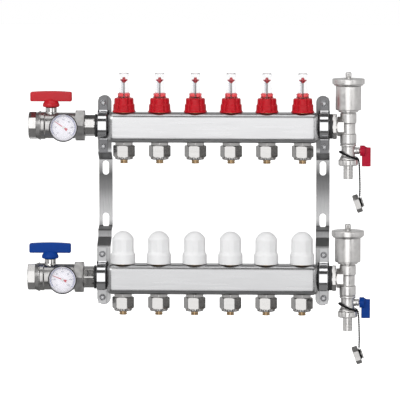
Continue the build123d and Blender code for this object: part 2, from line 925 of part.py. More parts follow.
def drain_body():
    """Drain valve body: a threaded top, a ball housing with a side boss and a hose thread."""
    top = tee_bottom - 0.4
    low = drain_skirt_bottom - drain_thread_length
    body = turned([
        (0, low),
        (drain_thread, low),
        (drain_thread, drain_skirt_bottom),
        (drain_skirt_radius, drain_skirt_bottom),
        (drain_skirt_radius, drain_skirt_bottom + 1.2),
        (drain_radius, drain_bottom),
        (drain_radius, drain_ring_bottom),
        (drain_ring_radius, drain_ring_bottom),
        (drain_ring_radius, top),
        (tee_thread - thread_gap, top),
        (tee_thread - thread_gap, tee_bottom + 8),
        (0, tee_bottom + 8),
    ])
    boss = along_x(disc(drain_boss_radius, 0, drain_boss_reach))
    body += Pos(0, 0, drain_stem_height) * boss
    body -= disc(drain_port, low, tee_bottom + 8)
    stem = along_x(disc(drain_stem_radius + running_gap, 0, drain_boss_reach))
    body -= Pos(0, 0, drain_stem_height) * (Sphere(drain_ball_radius + easy_gap) + stem)
    return at_tee(body)


def drain_ball():
    """Ball and stem of the drain valve, with the port across the flow because it is shut."""
    ball = Sphere(drain_ball_radius) - to_front(disc(drain_port, -20, 20))
    stem = along_x(disc(drain_stem_radius, drain_ball_radius - 1.5, drain_boss_reach + 5))
    return at_tee(Pos(0, 0, drain_stem_height) * (ball + stem))


def drain_handle():
    """Lever: a round hub on the stem and a flat paddle with a sloping shoulder, hanging down."""
    start = drain_boss_reach + easy_gap
    end = start + drain_hub_length
    hub = along_x(disc(drain_hub_radius, start, end))
    low = drain_lever_low - drain_stem_height
    high = drain_lever_high - drain_stem_height
    left = start + drain_lever_set
    right = left + drain_lever_width
    outline = FilletPolyline(
        (left, low),
        (right, low),
        (right, high),
        (end + 2.5, high),
        (end - 1.0, drain_hub_radius - 0.3),
        (left, drain_hub_radius - 0.3),
        radius=[1.2, 1.2, 1.2, 2.0, 0.8, 0.8],
        close=True,
    )
    paddle = extrude(Plane.XZ * make_face(outline), drain_lever_depth / 2, both=True)
    bore = along_x(disc(drain_stem_radius + 0.05, 0, drain_boss_reach + 5.1))
    return at_tee(Pos(0, 0, drain_stem_height) * (hub + paddle - bore))


def hose_nut():
    """Ribbed round nut that holds the hose tail."""
    body = turned([
        (0, hose_nut_bottom),
        (hose_nut_radius - 1.2, hose_nut_bottom),
        (hose_nut_radius, hose_nut_bottom + 1.2),
        (hose_nut_radius, drain_skirt_bottom - 1.0),
        (hose_nut_radius - 0.6, drain_skirt_bottom - 0.3),
        (0, drain_skirt_bottom - 0.3),
    ])
    body -= ring_of(disc(1.0, hose_nut_bottom, drain_skirt_bottom), hose_nut_radius + 0.5, hose_nut_ribs)
    seat = drain_skirt_bottom - drain_thread_length - hose_flange - thread_gap
    body -= disc(drain_thread + thread_gap, seat, drain_skirt_bottom)
    return at_tee(body - disc(hose_radius + 1.0, hose_nut_bottom, drain_skirt_bottom))


def hose_tail():
    """Hose tail: a flange in the nut and a barbed tube."""
    high = drain_skirt_bottom - drain_thread_length
    return at_tee(turned([
        (hose_bore, high),
        (drain_thread - 0.3, high),
        (drain_thread - 0.3, high - hose_flange),
        (hose_radius, high - hose_flange),
        (hose_radius, hose_bottom),
        (hose_bore, hose_bottom),
    ]))


def hose_cap_at(shape):
    """Put a shape built about the hose cap's axis where the cap hangs."""
    x, z = hose_cap_centre
    return at_tee(Pos(x, 0, z) * Rot(0, 90 - hose_cap_tilt, 0) * shape)


def hose_cap():
    """Hexagon cap of the drain's hose thread, open at one side, with a groove and a button."""
    half = hose_cap_length / 2
    body = chamfered_prism(2 * hose_cap_radius * cos(radians(30)), 6, -half, half, 0.8, 0.8, 0)
    body -= disc(hose_cap_bore, -half, half - hose_cap_roof)
    groove = hose_cap_boss_radius - 2.0
    body += turned([
        (0, half),
        (groove, half),
        (groove, half + hose_cap_boss - hose_cap_button),
        (hose_cap_boss_radius, half + hose_cap_boss - hose_cap_button),
        (hose_cap_boss_radius, half + hose_cap_boss),
        (0, half + hose_cap_boss),
    ])
    return hose_cap_at(body)


def retaining_strap():
    """Moulded strap: a ring round the drain valve, a thin tail and a ring in the cap's groove."""
    thick = strap_cord_radius
    ring = Torus(strap_ring_radius, thick)
    ring = Pos(strap_ring_shift, 0, strap_ring_height) * Rot(0, strap_ring_tilt, 0) * ring
    points = [(x, 0, z) for x, z in strap_route]
    arcs = []
    for before, here, after in zip(points, points[1:], points[2:]):
        back = Vector(*before) - Vector(*here)
        on = Vector(*after) - Vector(*here)
        turn = 180 - back.get_angle(on)
        arcs.append(0.45 * min(back.length, on.length) / tan(radians(turn / 2)))
    path = FilletPolyline(*points, radius=arcs)
    tail = sweep(Plane(path @ 0, z_dir=path % 0) * Circle(thick), path)
    low_ring = Pos(0, 0, hose_cap_length / 2 + 1.1) * Torus(hose_cap_boss_radius - 0.9, thick)
    return at_tee(ring + tail) + hose_cap_at(low_ring)


def build():
    """Every node of the manifold by name."""
    nodes = {
        "supply_rail": [at_axis(rail(), "supply")],
        "return_rail": [at_axis(rail(), "return")],
        "sight_glasses": at_loops(sight_glass(), "supply"),
        "valve_inserts": at_loops(flow_seat(), "supply") + at_loops(cap_insert(), "return"),
        "outlet_nipples": at_loops(nipple(), "supply") + at_loops(nipple(), "return"),
        "pipe_nuts": at_loops(pipe_nut(), "supply") + at_loops(pipe_nut(), "return"),
        "pipe_inserts": at_loops(pipe_insert(), "supply") + at_loops(pipe_insert(), "return"),
        "left_bracket": [placed_bracket(0, -1)],
        "right_bracket": [placed_bracket(bracket_spacing, 1)],
        "clamp_straps": [at_axis(Pos(place, 0, 0) * strap(), name) for place, name in clamps()],
        "clamp_liners": [at_axis(Pos(place, 0, 0) * liner(), name) for place, name in clamps()],
        "clamp_screws": clamp_screws(),
        "valve_bodies": on_both(valve_body()) + on_both(drain_body()),
        "union_tailpieces": on_both(tailpiece()),
        "union_nuts": on_both(union_nut()) + on_both(hose_nut()),
        "gauge_cases": on_both(gauge_case()),
        "gauge_dials": on_both(gauge_dial()),
        "gauge_lenses": on_both(gauge_lens()),
        "end_adapters": on_both(end_adapter()),
        "tee_bodies": on_both(tee_body()),
        "vent_bodies": on_both(vent_body()),
        "vent_covers": on_both(vent_cover()),
        "hose_tails": on_both(hose_tail()),
        "seals": on_both(left_seal()) + on_both(end_seal()),
    }
    for number, place in enumerate(loop_places, 1):
        nodes[f"flow_knob_{number}"] = [at_loop(flow_knob(), "supply", place)]
        nodes[f"flow_float_{number}"] = [at_loop(flow_float(), "supply", place)]
        nodes[f"return_cap_{number}"] = [at_loop(return_cap(), "return", place)]
    for name, angle in (("supply", supply_needle_angle), ("return", return_needle_angle)):
        nodes[f"{name}_handle"] = [at_axis(valve_handle(), name)]
        nodes[f"{name}_valve_stem"] = [at_axis(valve_stem(), name)]
        nodes[f"{name}_valve_ball"] = [at_axis(valve_ball(), name)]
        nodes[f"{name}_needle"] = [at_axis(needle(angle), name)]
        nodes[f"{name}_drain_handle"] = [at_axis(drain_handle(), name)]
        nodes[f"{name}_drain_ball"] = [at_axis(drain_ball(), name)]
        nodes[f"{name}_vent_cap"] = [at_axis(vent_cap(), name)]
        nodes[f"{name}_hose_cap"] = [at_axis(hose_cap(), name)]
        nodes[f"{name}_strap"] = [at_axis(retaining_strap(), name)]
    return nodes


def main():
    os.makedirs("parts", exist_ok=True)
    for name, solids in build().items():
        pieces = [solid for shape in solids for solid in shape.solids()]
        export_step(Compound(pieces) if len(pieces) > 1 else pieces[0], f"parts/{name}.step")


main()
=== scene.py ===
"""Finished surfaces, materials, light and camera of a six-loop heating manifold.

Shapes are worked out in millimetres and put into the meshes in metres. X runs along the rails,
-Y points out of the wall to the viewer and Z is up.
"""
import math

import bmesh
import bpy
import numpy as np
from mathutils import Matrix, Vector


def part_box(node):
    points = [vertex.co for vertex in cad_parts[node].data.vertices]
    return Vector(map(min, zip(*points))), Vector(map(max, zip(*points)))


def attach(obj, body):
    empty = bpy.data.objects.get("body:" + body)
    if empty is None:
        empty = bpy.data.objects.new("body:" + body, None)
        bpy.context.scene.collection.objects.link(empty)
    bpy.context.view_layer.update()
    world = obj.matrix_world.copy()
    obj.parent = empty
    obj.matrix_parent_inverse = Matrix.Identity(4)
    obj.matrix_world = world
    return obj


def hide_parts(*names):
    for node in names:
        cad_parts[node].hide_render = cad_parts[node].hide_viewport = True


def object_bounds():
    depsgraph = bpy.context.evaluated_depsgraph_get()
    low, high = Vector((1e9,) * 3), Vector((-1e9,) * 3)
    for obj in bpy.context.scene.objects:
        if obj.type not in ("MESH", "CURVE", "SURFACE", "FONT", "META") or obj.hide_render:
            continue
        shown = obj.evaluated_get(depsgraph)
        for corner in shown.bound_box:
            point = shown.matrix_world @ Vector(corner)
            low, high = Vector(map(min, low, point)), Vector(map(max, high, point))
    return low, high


bl_info = {
    "name": "Heating Manifold",
    "version": (1, 0, 0),
    "blender": (4, 5, 0),
    "location": "View3D > Sidebar > Manifold",
    "description": "Builds the finished surfaces and materials of a heating manifold",
    "category": "Add Mesh",
}

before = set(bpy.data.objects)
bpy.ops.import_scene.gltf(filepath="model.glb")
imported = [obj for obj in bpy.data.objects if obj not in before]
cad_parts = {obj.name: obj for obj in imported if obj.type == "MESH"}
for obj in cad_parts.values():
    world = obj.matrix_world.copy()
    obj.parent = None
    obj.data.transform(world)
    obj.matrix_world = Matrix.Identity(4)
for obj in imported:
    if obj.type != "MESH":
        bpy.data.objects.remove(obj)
CAD_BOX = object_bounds()

MM = 0.001
TAU = 2 * math.pi
LINES = ("supply", "return")
LOOPS = range(1, 7)
HANDLE_COLOUR = {"supply": "red", "return": "blue"}


def corners(node):
    """Lowest and highest corner of a node, in millimetres."""
    low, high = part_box(node)
    return np.array(low) / MM, np.array(high) / MM


def middle(node):
    """Middle of a node's box, in millimetres."""
    low, high = corners(node)
    return (low + high) / 2


# Height of the necks' axis above the rail's middle, in millimetres
NECK_RISE = 2.0

# Places and sizes read from the frame, in millimetres
RAIL_LOW, RAIL_HIGH = corners("supply_rail")
LEFT_END, RIGHT_END = RAIL_LOW[0], RAIL_HIGH[0]
AXIS = {line: middle(f"{line}_rail")[1:] + (0, NECK_RISE) for line in LINES}
LOOP_X = [middle(f"flow_knob_{number}")[0] for number in LOOPS]
STEM_X = middle("supply_valve_stem")[0]
TEE_X = middle("supply_vent_cap")[0]
GAUGE_X = middle("gauge_dials")[0]
GAUGE_FRONT = AXIS["supply"][0] - corners("gauge_dials")[1][1]
BRACKET_X = {"left": middle("left_bracket")[0], "right": middle("right_bracket")[0]}
RAIL_HEIGHT = RAIL_HIGH[2] - RAIL_LOW[2]
RAIL_DEPTH = RAIL_HIGH[1] - RAIL_LOW[1]
RAIL_TOP = RAIL_HEIGHT / 2

# Sizes of the finished surfaces, in millimetres
NECK_LENGTH = 15.0
NECK_RADIUS = 15.0
RAIL_CORNER = 9.0
RAIL_END_ROUND = 8.5
STRAP_OFFSET = 2.0
SCREW_HEIGHT = 30.5
SCREW_DEPTH = 15.5
FLOAT_TRAVEL = 20.0
NIPPLE_ACROSS = 24.0
PIPE_NUT_ACROSS = 27.0
VALVE_END_ACROSS = 36.0
UNION_ACROSS = 42.0
TAILPIECE_ACROSS = 28.0
ADAPTER_ACROSS = 34.5
TEE_ACROSS = 24.0

# Turns of the hexagons and octagons about their axes, in degrees
UNION_TURN = 54.0
TAIL_TURN = {"supply": -19.0, "return": -28.5}
OCTAGON_TURN = {"supply": -15.5, "return": -5.3}

# Dials: angles in degrees, and the height of the print in millimetres
DIAL_START = 225.0
DIAL_END = -45.0
DIAL_TICKS = 31
DIAL_NUMBERS = 7
PRINT_TOP = 0.66
READING_ANGLE = {"supply": 145.0, "return": 158.0}

# Studio: half the floor's width in metres, levels of light where white is one, the lesser lamps'
# shares of the main one, and the film's width in millimetres
FLOOR_HALF_WIDTH = 8.0
FLOOR_LIFT = 0.9
BACK_LEVEL = 0.7
BELOW_LEVEL = 0.35
SIDE_LEVEL = 0.75
FILL_SHARE = 0.3
TOP_SHARE = 0.5
FILM_WIDTH = 36.0

# Run of the noise that is spread over a finish, and of its colours
NOISE_LOW, NOISE_HIGH = 0.3, 0.7
COLOUR_RUN = (0.32, 0.68)

# Painted reflection and shade of the bracket strips, in bright and dark bands: the tone at each height in
# millimetres
BRACKET_PAINTED_TONES = [
    (-160, 0.34), (-62, 0.30), (-48, 0.16), (-36, 0.40), (-10, 0.28), (8, 0.15), (28, 0.085),
    (36, 0.2), (55, 0.42), (62, 0.42), (68, 0.14), (156, 0.16),
]


# Surfaces: each is a pair of vertices, an (n, 3) array, and faces, an (m, 4) array in which a
# triangle repeats its last corner


def soften(points, reach, steps=4):
    """Outline with round corners. At each inner corner the line follows the quadratic curve whose
    ends lie at most 'reach' before and after the corner and whose control point is the corner."""
    points = np.asarray(points, float)
    reach = np.broadcast_to(np.asarray(reach, float), len(points))
    t = np.linspace(0, 1, steps + 1)[:, None]
    rows = [points[:1]]
    for number in range(1, len(points) - 1):
        before, here, after = points[number - 1:number + 2]
        back, on = before - here, after - here
        back_length, on_length = np.linalg.norm(back), np.linalg.norm(on)
        cut = min(reach[number], 0.45 * back_length, 0.45 * on_length)
        if cut <= 0:
            rows.append(points[number:number + 1])
            continue
        start, end = here + back / back_length * cut, here + on / on_length * cut
        rows.append((1 - t) ** 2 * start + 2 * t * (1 - t) * here + t ** 2 * end)
    rows.append(points[-1:])
    return np.vstack(rows)


def spaced(outline, step):
    """The same outline with its long runs divided, so that no run is longer than 'step'."""
    lengths = np.linalg.norm(np.diff(outline, axis=0), axis=1)
    rows = [
        start + (end - start) * np.linspace(0, 1, max(1, math.ceil(length / step)), endpoint=False)[:, None]
        for start, end, length in zip(outline[:-1], outline[1:], lengths)
    ]
    return np.vstack(rows + [outline[-1:]])


def grid_faces(rows, columns, rows_close=False, columns_close=True):
    """Four-cornered faces between neighbouring rows and columns of a grid of vertices."""
    r = np.arange(rows if rows_close else rows - 1)
    c = np.arange(columns if columns_close else columns - 1)
    r, c = np.meshgrid(r, c, indexing="ij")
    r, c = r.ravel(), c.ravel()
    r_next, c_next = (r + 1) % rows, (c + 1) % columns
    return np.stack([r * columns + c, r * columns + c_next, r_next * columns + c_next,
                     r_next * columns + c], axis=1)


def weld(vertices, faces):
    """Merge vertices that lie together and drop the faces that this closes up."""
    _, first, index = np.unique(np.round(vertices, 5), axis=0, return_index=True, return_inverse=True)
    faces = index.ravel()[faces]
    a, b, c, d = faces.T
    faces = np.where((a == b)[:, None], np.stack([b, c, d, d], 1), faces)
    a, b, c, d = faces.T
    faces = np.where(((b == c) & (c != d))[:, None], np.stack([a, b, d, d], 1), faces)
    a, b, c, d = faces.T
    faces = np.where(((a == d) & (c != d))[:, None], np.stack([a, b, c, c], 1), faces)
    a, b, c, _ = faces.T
    return vertices[first], faces[(a != b) & (b != c) & (a != c)]


def turned(profile, shape=None, around=72, closed=False, step=None):
    """Surface of revolution about Z. A (radius, height) profile is carried round the axis:
    x = r cos(a), y = r sin(a), z = h, where 'shape' may change r by radius, height and angle."""
    profile = np.asarray(profile, float)
    if closed:
        profile = np.vstack([profile, profile[:1]])
    if step:
        profile = spaced(profile, step)
    if closed:
        profile = profile[:-1]
    angle = np.linspace(0, TAU, around, endpoint=False)
    radius, height = (np.repeat(part[:, None], around, axis=1) for part in profile.T)
    turn = np.repeat(angle[None, :], len(profile), axis=0)
    if shape is not None:
        radius = np.maximum(shape(radius, height, turn), 0)
    vertices = np.stack([radius * np.cos(turn), radius * np.sin(turn), height], axis=-1).reshape(-1, 3)
    return weld(vertices, grid_faces(len(profile), around, rows_close=closed))


def loft(rows, rows_close=False):
    """Skin over closed rings of points, given as an array of rows by columns by three."""
    rows = np.asarray(rows, float)
    return weld(rows.reshape(-1, 3), grid_faces(rows.shape[0], rows.shape[1], rows_close))


def capped(rows):
    """Skin over closed rings whose two end rings are drawn together at their middles."""
    rows = np.asarray(rows, float)
    first, last = (np.broadcast_to(row.mean(axis=0), row.shape)[None] for row in (rows[0], rows[-1]))
    return loft(np.concatenate([first, rows, last]))


def tube(path, radius, sides=12, closed=False):
    """Round tube along a path. At each point the ring lies in the plane across the path's tangent,
    spanned by the cross products of the tangent with Y and with that first product."""
    path = np.asarray(path, float)
    ahead, behind = np.roll(path, -1, axis=0), np.roll(path, 1, axis=0)
    if not closed:
        ahead[-1], behind[0] = path[-1], path[0]
    tangent = ahead - behind
    tangent /= np.linalg.norm(tangent, axis=1, keepdims=True)
    side = np.cross(tangent, (0.0, 1.0, 0.001))
    side /= np.linalg.norm(side, axis=1, keepdims=True)
    other = np.cross(tangent, side)
    angle = np.linspace(0, TAU, sides, endpoint=False)
    radius = np.broadcast_to(radius, len(path))[:, None, None]
    ring = np.cos(angle)[None, :, None] * side[:, None] + np.sin(angle)[None, :, None] * other[:, None]
    rings = path[:, None] + radius * ring
    if not closed:
        start, end = (np.repeat(point[:, None], sides, 1) for point in (path[:1], path[-1:]))
        rings = np.concatenate([start, rings, end])
    return loft(rings, rows_close=closed)


def plate(outline, thickness, edge, steps=3):
    """Flat plate in the XZ plane with rounded edges. The closed outline is moved inwards along its
    normals by edge (1 - sin t) while the depth runs as thickness / 2 - edge (1 - cos t)."""
    outline = np.asarray(outline, float)
    along = np.roll(outline, -1, axis=0) - np.roll(outline, 1, axis=0)
    along /= np.linalg.norm(along, axis=1, keepdims=True)
    inward = np.stack([-along[:, 1], along[:, 0]], axis=1)
    centre = outline.mean(axis=0)
    if ((centre - outline) * inward).sum() < 0:
        inward = -inward
    t = np.linspace(0, math.pi / 2, steps + 1)
    inset = edge * (1 - np.sin(t))
    depth = thickness / 2 - edge * (1 - np.cos(t))
    insets = np.concatenate([inset, inset[::-1]])
    depths = np.concatenate([-depth, depth[::-1]])
    rings = [outline + inward * amount for amount in insets]
    rings = [np.broadcast_to(centre, outline.shape)] + rings + [np.broadcast_to(centre, outline.shape)]
    depths = np.concatenate([depths[:1], depths, depths[-1:]])
    rows = [np.stack([ring[:, 0], np.full(len(ring), y), ring[:, 1]], axis=1)
            for ring, y in zip(rings, depths)]
    return loft(rows)


def moved(surface, x=0.0, y=0.0, z=0.0):
    """The surface, moved."""
    return surface[0] + (x, y, z), surface[1]


def along_x(surface):
    """Turn a surface built about Z so that its Z points along +X."""
    x, y, z = surface[0].T
    return np.stack([z, y, -x], axis=1), surface[1]


def to_front(surface):
    """Turn a surface built about Z so that its Z points to the front, -Y."""
    x, y, z = surface[0].T
    return np.stack([x, -z, y], axis=1), surface[1]


def turned_about_y(surface, degrees):
    """Turn a surface about Y, from +X towards +Z."""
    c, s = math.cos(math.radians(degrees)), math.sin(math.radians(degrees))
    x, y, z = surface[0].T
    return np.stack([c * x - s * z, y, s * x + c * z], axis=1), surface[1]


def stacked(surfaces):
    """Several surfaces as one."""
    vertices, faces, count = [], [], 0
    for points, corners_of in surfaces:
        vertices.append(points)
        faces.append(corners_of + count)
        count += len(points)
    return np.vstack(vertices), np.vstack(faces)


def at_axis(surface, line, x=0.0):
    """Put a surface built at a neck's axis on the supply or return rail."""
    y, z = AXIS[line]
    return moved(surface, x, y, z)


def at_rail(surface, line, x):
    """Put a surface built about Z, with its zero at the rail's middle height, at one loop."""
    y, z = AXIS[line]
    return moved(surface, x, y, z - NECK_RISE)


def pair(surface, place=at_axis):
    """The same surface on the supply and on the return line."""
    return stacked([place(surface, line) for line in LINES])


def on_loops(surface, line):
    """The same surface at each of a rail's loops."""
    return stacked([at_rail(surface, line, x) for x in LOOP_X])


def many_sided(across, sides, turn=0.0):
    """Shape of a prism: the radius is cut at the flat, across / 2 / cos(angle from its middle)."""
    pitch = TAU / sides

    def shape(radius, height, angle):
        from_flat = np.mod(angle - math.radians(turn) + pitch / 2, pitch) - pitch / 2
        return np.minimum(radius, across / 2 / np.cos(from_flat))
    return shape


def grooved(count, depth, width, low, high, turn=0.0, fade=0.6):
    """Shape with grooves along the axis: the radius falls by depth exp(-(arc / width)^2) at each
    groove, between the two heights, where arc is the distance round from the groove's middle."""
    pitch = TAU / count

    def shape(radius, height, angle):
        arc = (np.mod(angle - math.radians(turn) + pitch / 2, pitch) - pitch / 2) * radius
        inside = np.clip((height - low) / fade, 0, 1) * np.clip((high - height) / fade, 0, 1)
        return radius - depth * inside * np.exp(-(arc / width) ** 2)
    return shape


def threaded(pitch, depth, low, high):
    """Shape of a screw thread: the radius falls by a triangle wave of height / pitch - turns."""
    def shape(radius, height, angle):
        phase = np.mod(height / pitch - angle / TAU, 1)
        inside = np.clip((height - low) / pitch, 0, 1) * np.clip((high - height) / pitch, 0, 1)
        return radius - depth * inside * np.abs(2 * phase - 1)
    return shape


def both(first, second):
    """One shape after another."""
    return lambda radius, height, angle: second(first(radius, height, angle), height, angle)


def nut_profile(across, sides, low, high, bevel_low, bevel_high, inner=0.0):
    """Profile of a nut: its corners are turned away at both ends."""
    corner = across / 2 / math.cos(math.pi / sides)
    slope = 0.6
    return np.array([
        (inner, low), (corner - bevel_low, low), (corner, low + bevel_low * slope),
        (corner, high - bevel_high * slope), (corner - bevel_high, high), (inner, high),
    ])


# Materials


def new_material(name, colour, roughness, metallic=0.0, **sockets):
    """Principled material with its plain values, and its node tree."""
    material = bpy.data.materials.new(name)
    material.use_nodes = True
    material.diffuse_color = (*colour, 1.0)
    shader = material.node_tree.nodes["Principled BSDF"]
    values = {"Base Color": (*colour, 1.0), "Roughness": roughness, "Metallic": metallic, **sockets}
    for socket, value in values.items():
        shader.inputs[socket.replace("_", " ")].default_value = value
    return material


def new_node(tree, kind, inputs=None, **settings):
    """Node of a kind with its settings. Each named input gets a value or another node's output."""
    node = tree.nodes.new(kind)
    for name, value in settings.items():
        setattr(node, name, value)
    for socket, source in (inputs or {}).items():
        if isinstance(source, bpy.types.NodeSocket):
            tree.links.new(source, node.inputs[socket])
        else:
            node.inputs[socket].default_value = source
    return node


def calculated(tree, operation, *values):
    """Output of one arithmetic step on outputs or plain numbers."""
    return new_node(tree, "ShaderNodeMath", dict(enumerate(values)), operation=operation).outputs["Value"]


def remapped(tree, source, low, high, to_low=0.0, to_high=1.0, run="LINEAR"):
    """Output that runs from to_low to to_high while the source runs from low to high."""
    inputs = {"Value": source, "From Min": low, "From Max": high, "To Min": to_low, "To Max": to_high}
    return new_node(tree, "ShaderNodeMapRange", inputs, interpolation_type=run).outputs["Result"]


def own_height(tree):
    """Height of a point on the object's own coordinates, in metres."""
    place = new_node(tree, "ShaderNodeTexCoord").outputs["Object"]
    return new_node(tree, "ShaderNodeSeparateXYZ", {"Vector": place}).outputs["Z"]


def noise(material, scale, detail=3.0, roughness=0.55):
    """Noise on the object's own coordinates, stretched by a scale for each axis."""
    tree = material.node_tree
    place = new_node(tree, "ShaderNodeTexCoord").outputs["Object"]
    stretch = new_node(tree, "ShaderNodeMapping", {"Vector": place, "Scale": scale})
    texture = new_node(tree, "ShaderNodeTexNoise", {
        "Vector": stretch.outputs["Vector"], "Scale": 1.0, "Detail": detail, "Roughness": roughness,
    })
    return texture.outputs["Fac"]


def vary_roughness(material, source, low, high):
    """Let the roughness run from low to high with the source."""
    tree = material.node_tree
    rough = remapped(tree, source, NOISE_LOW, NOISE_HIGH, low, high)
    tree.links.new(rough, tree.nodes["Principled BSDF"].inputs["Roughness"])


def vary_colour(material, source, dark, light):
    """Let the colour run from dark to light with the source."""
    tree = material.node_tree
    ramp = new_node(tree, "ShaderNodeValToRGB", {"Fac": source})
    for mark, position, colour in zip(ramp.color_ramp.elements, COLOUR_RUN, (dark, light)):
        mark.position = position
        mark.color = (*colour, 1.0)
    tree.links.new(ramp.outputs["Color"], tree.nodes["Principled BSDF"].inputs["Base Color"])


def bump(material, *layers):
    """Bump from (source, strength, height in metres) layers, one on top of the other."""
    tree = material.node_tree
    below = {}
    for source, strength, height in layers:
        inputs = {"Strength": strength, "Distance": height, "Height": source, **below}
        layer = new_node(tree, "ShaderNodeBump", inputs)
        below = {"Normal": layer.outputs["Normal"]}
    tree.links.new(below["Normal"], tree.nodes["Principled BSDF"].inputs["Normal"])


def shade(colour, factor):
    """Colour with each part times the factor, and none above one."""
    return tuple(min(1.0, part * factor) for part in colour)


def metal(name, colour, roughness, grain, strength=0.25, height=0.00004, mottle=0.06):
    """Metal with its tool marks: grain is the noise scale for each axis, stretched along the marks."""
    material = new_material(name, colour, roughness, 1.0)
    fine = noise(material, grain, 4.0, 0.6)
    broad = noise(material, tuple(part * 0.12 + 12 for part in grain), 2.0)
    vary_roughness(material, broad, roughness * 0.8, roughness * 1.25)
    vary_colour(material, broad, shade(colour, 1 - mottle), shade(colour, 1 + mottle))
    bump(material, (fine, strength, height))
    return material


def plastic(name, colour, roughness, pores=900.0, strength=0.12, mottle=0.04, **sockets):
    """Moulded plastic with a faint skin texture and slightly uneven gloss and colour."""
    material = new_material(name, colour, roughness, 0.0, **sockets)
    skin = noise(material, (pores, pores, pores), 3.0)
    broad = noise(material, (60, 60, 60), 2.0)
    vary_roughness(material, broad, roughness * 0.85, roughness * 1.2)
    vary_colour(material, broad, shade(colour, 1 - mottle), shade(colour, 1 + mottle))
    bump(material, (skin, strength, 0.00003))
    return material


def clear(name, colour, roughness, wear, bending=1.45):
    """Clear moulded plastic: it transmits light and has faint uneven spots in its gloss."""
    material = new_material(name, colour, roughness, 0.0, Transmission_Weight=1.0, IOR=bending)
    vary_roughness(material, noise(material, (300, 300, 300), 2.0), roughness, roughness + wear)
    return material


def plated(name, hump, foot):
    """Plated clamp: bright on the hump; on the feet dull and scuffed, and darker with painted shade. A point's
    distance from the nearer rail's axis is | |z - middle of both axes| - half the way between them |."""
    material = new_material(name, hump, 0.12, 1.0)
    tree = material.node_tree
    centre = (AXIS["supply"][1] + AXIS["return"][1]) / 2
    half_way = (AXIS["supply"][1] - AXIS["return"][1]) / 2
    distance = own_height(tree)
    for shift in (-centre * MM, -half_way * MM):
        distance = calculated(tree, "ABSOLUTE", calculated(tree, "ADD", distance, shift))
    hump_ends, feet_start, scuffing = 0.0195, 0.0215, 0.5
    on_foot = remapped(tree, distance, hump_ends, feet_start)
    scuffs = noise(material, (500, 500, 160), 4.0, 0.7)
    uneven = calculated(tree, "MULTIPLY_ADD", scuffs, scuffing, on_foot)
    dullness_and_painted_shade = remapped(tree, uneven, scuffing / 2, 1 + scuffing / 2)
    # Painted shade: the colour darkens from the hump to the feet, beyond the scuffs
    vary_colour(material, dullness_and_painted_shade, hump, foot)
    vary_roughness(material, dullness_and_painted_shade, 0.11, 0.42)
    bump(material, (scuffs, 0.25, 0.00006))
    return material


def steel_with_painted_bands(name, stops):
    """Brushed strip with painted reflection and shade in bright and dark bands along its height. Each stop is
    a height in millimetres and the painted tone there."""
    material = new_material(name, (0.3, 0.3, 0.3), 0.4, 1.0)
    tree = material.node_tree
    low, high = stops[0][0], stops[-1][0]
    along = remapped(tree, own_height(tree), low * MM, high * MM)
    # Painted reflection and shade: the base colour follows the stops' bright and dark bands up the strip
    ramp = new_node(tree, "ShaderNodeValToRGB", {"Fac": along})
    marks = ramp.color_ramp.elements
    for height, _ in stops[1:-1]:
        marks.new((height - low) / (high - low))
    for mark, (height, tone) in zip(marks, stops):
        mark.color = (tone, tone, tone * 1.01, 1.0)
    streaks = noise(material, (1100, 1100, 45), 3.0, 0.6)
    strength = remapped(tree, streaks, NOISE_LOW, NOISE_HIGH, 0.8, 1.2)
    tinted = new_node(tree, "ShaderNodeVectorMath", {0: ramp.outputs["Color"], 1: strength}, operation="MULTIPLY")
    tree.links.new(tinted.outputs["Vector"], tree.nodes["Principled BSDF"].inputs["Base Color"])
    vary_roughness(material, streaks, 0.34, 0.5)
    bump(material, (streaks, 0.3, 0.00004))
    return material


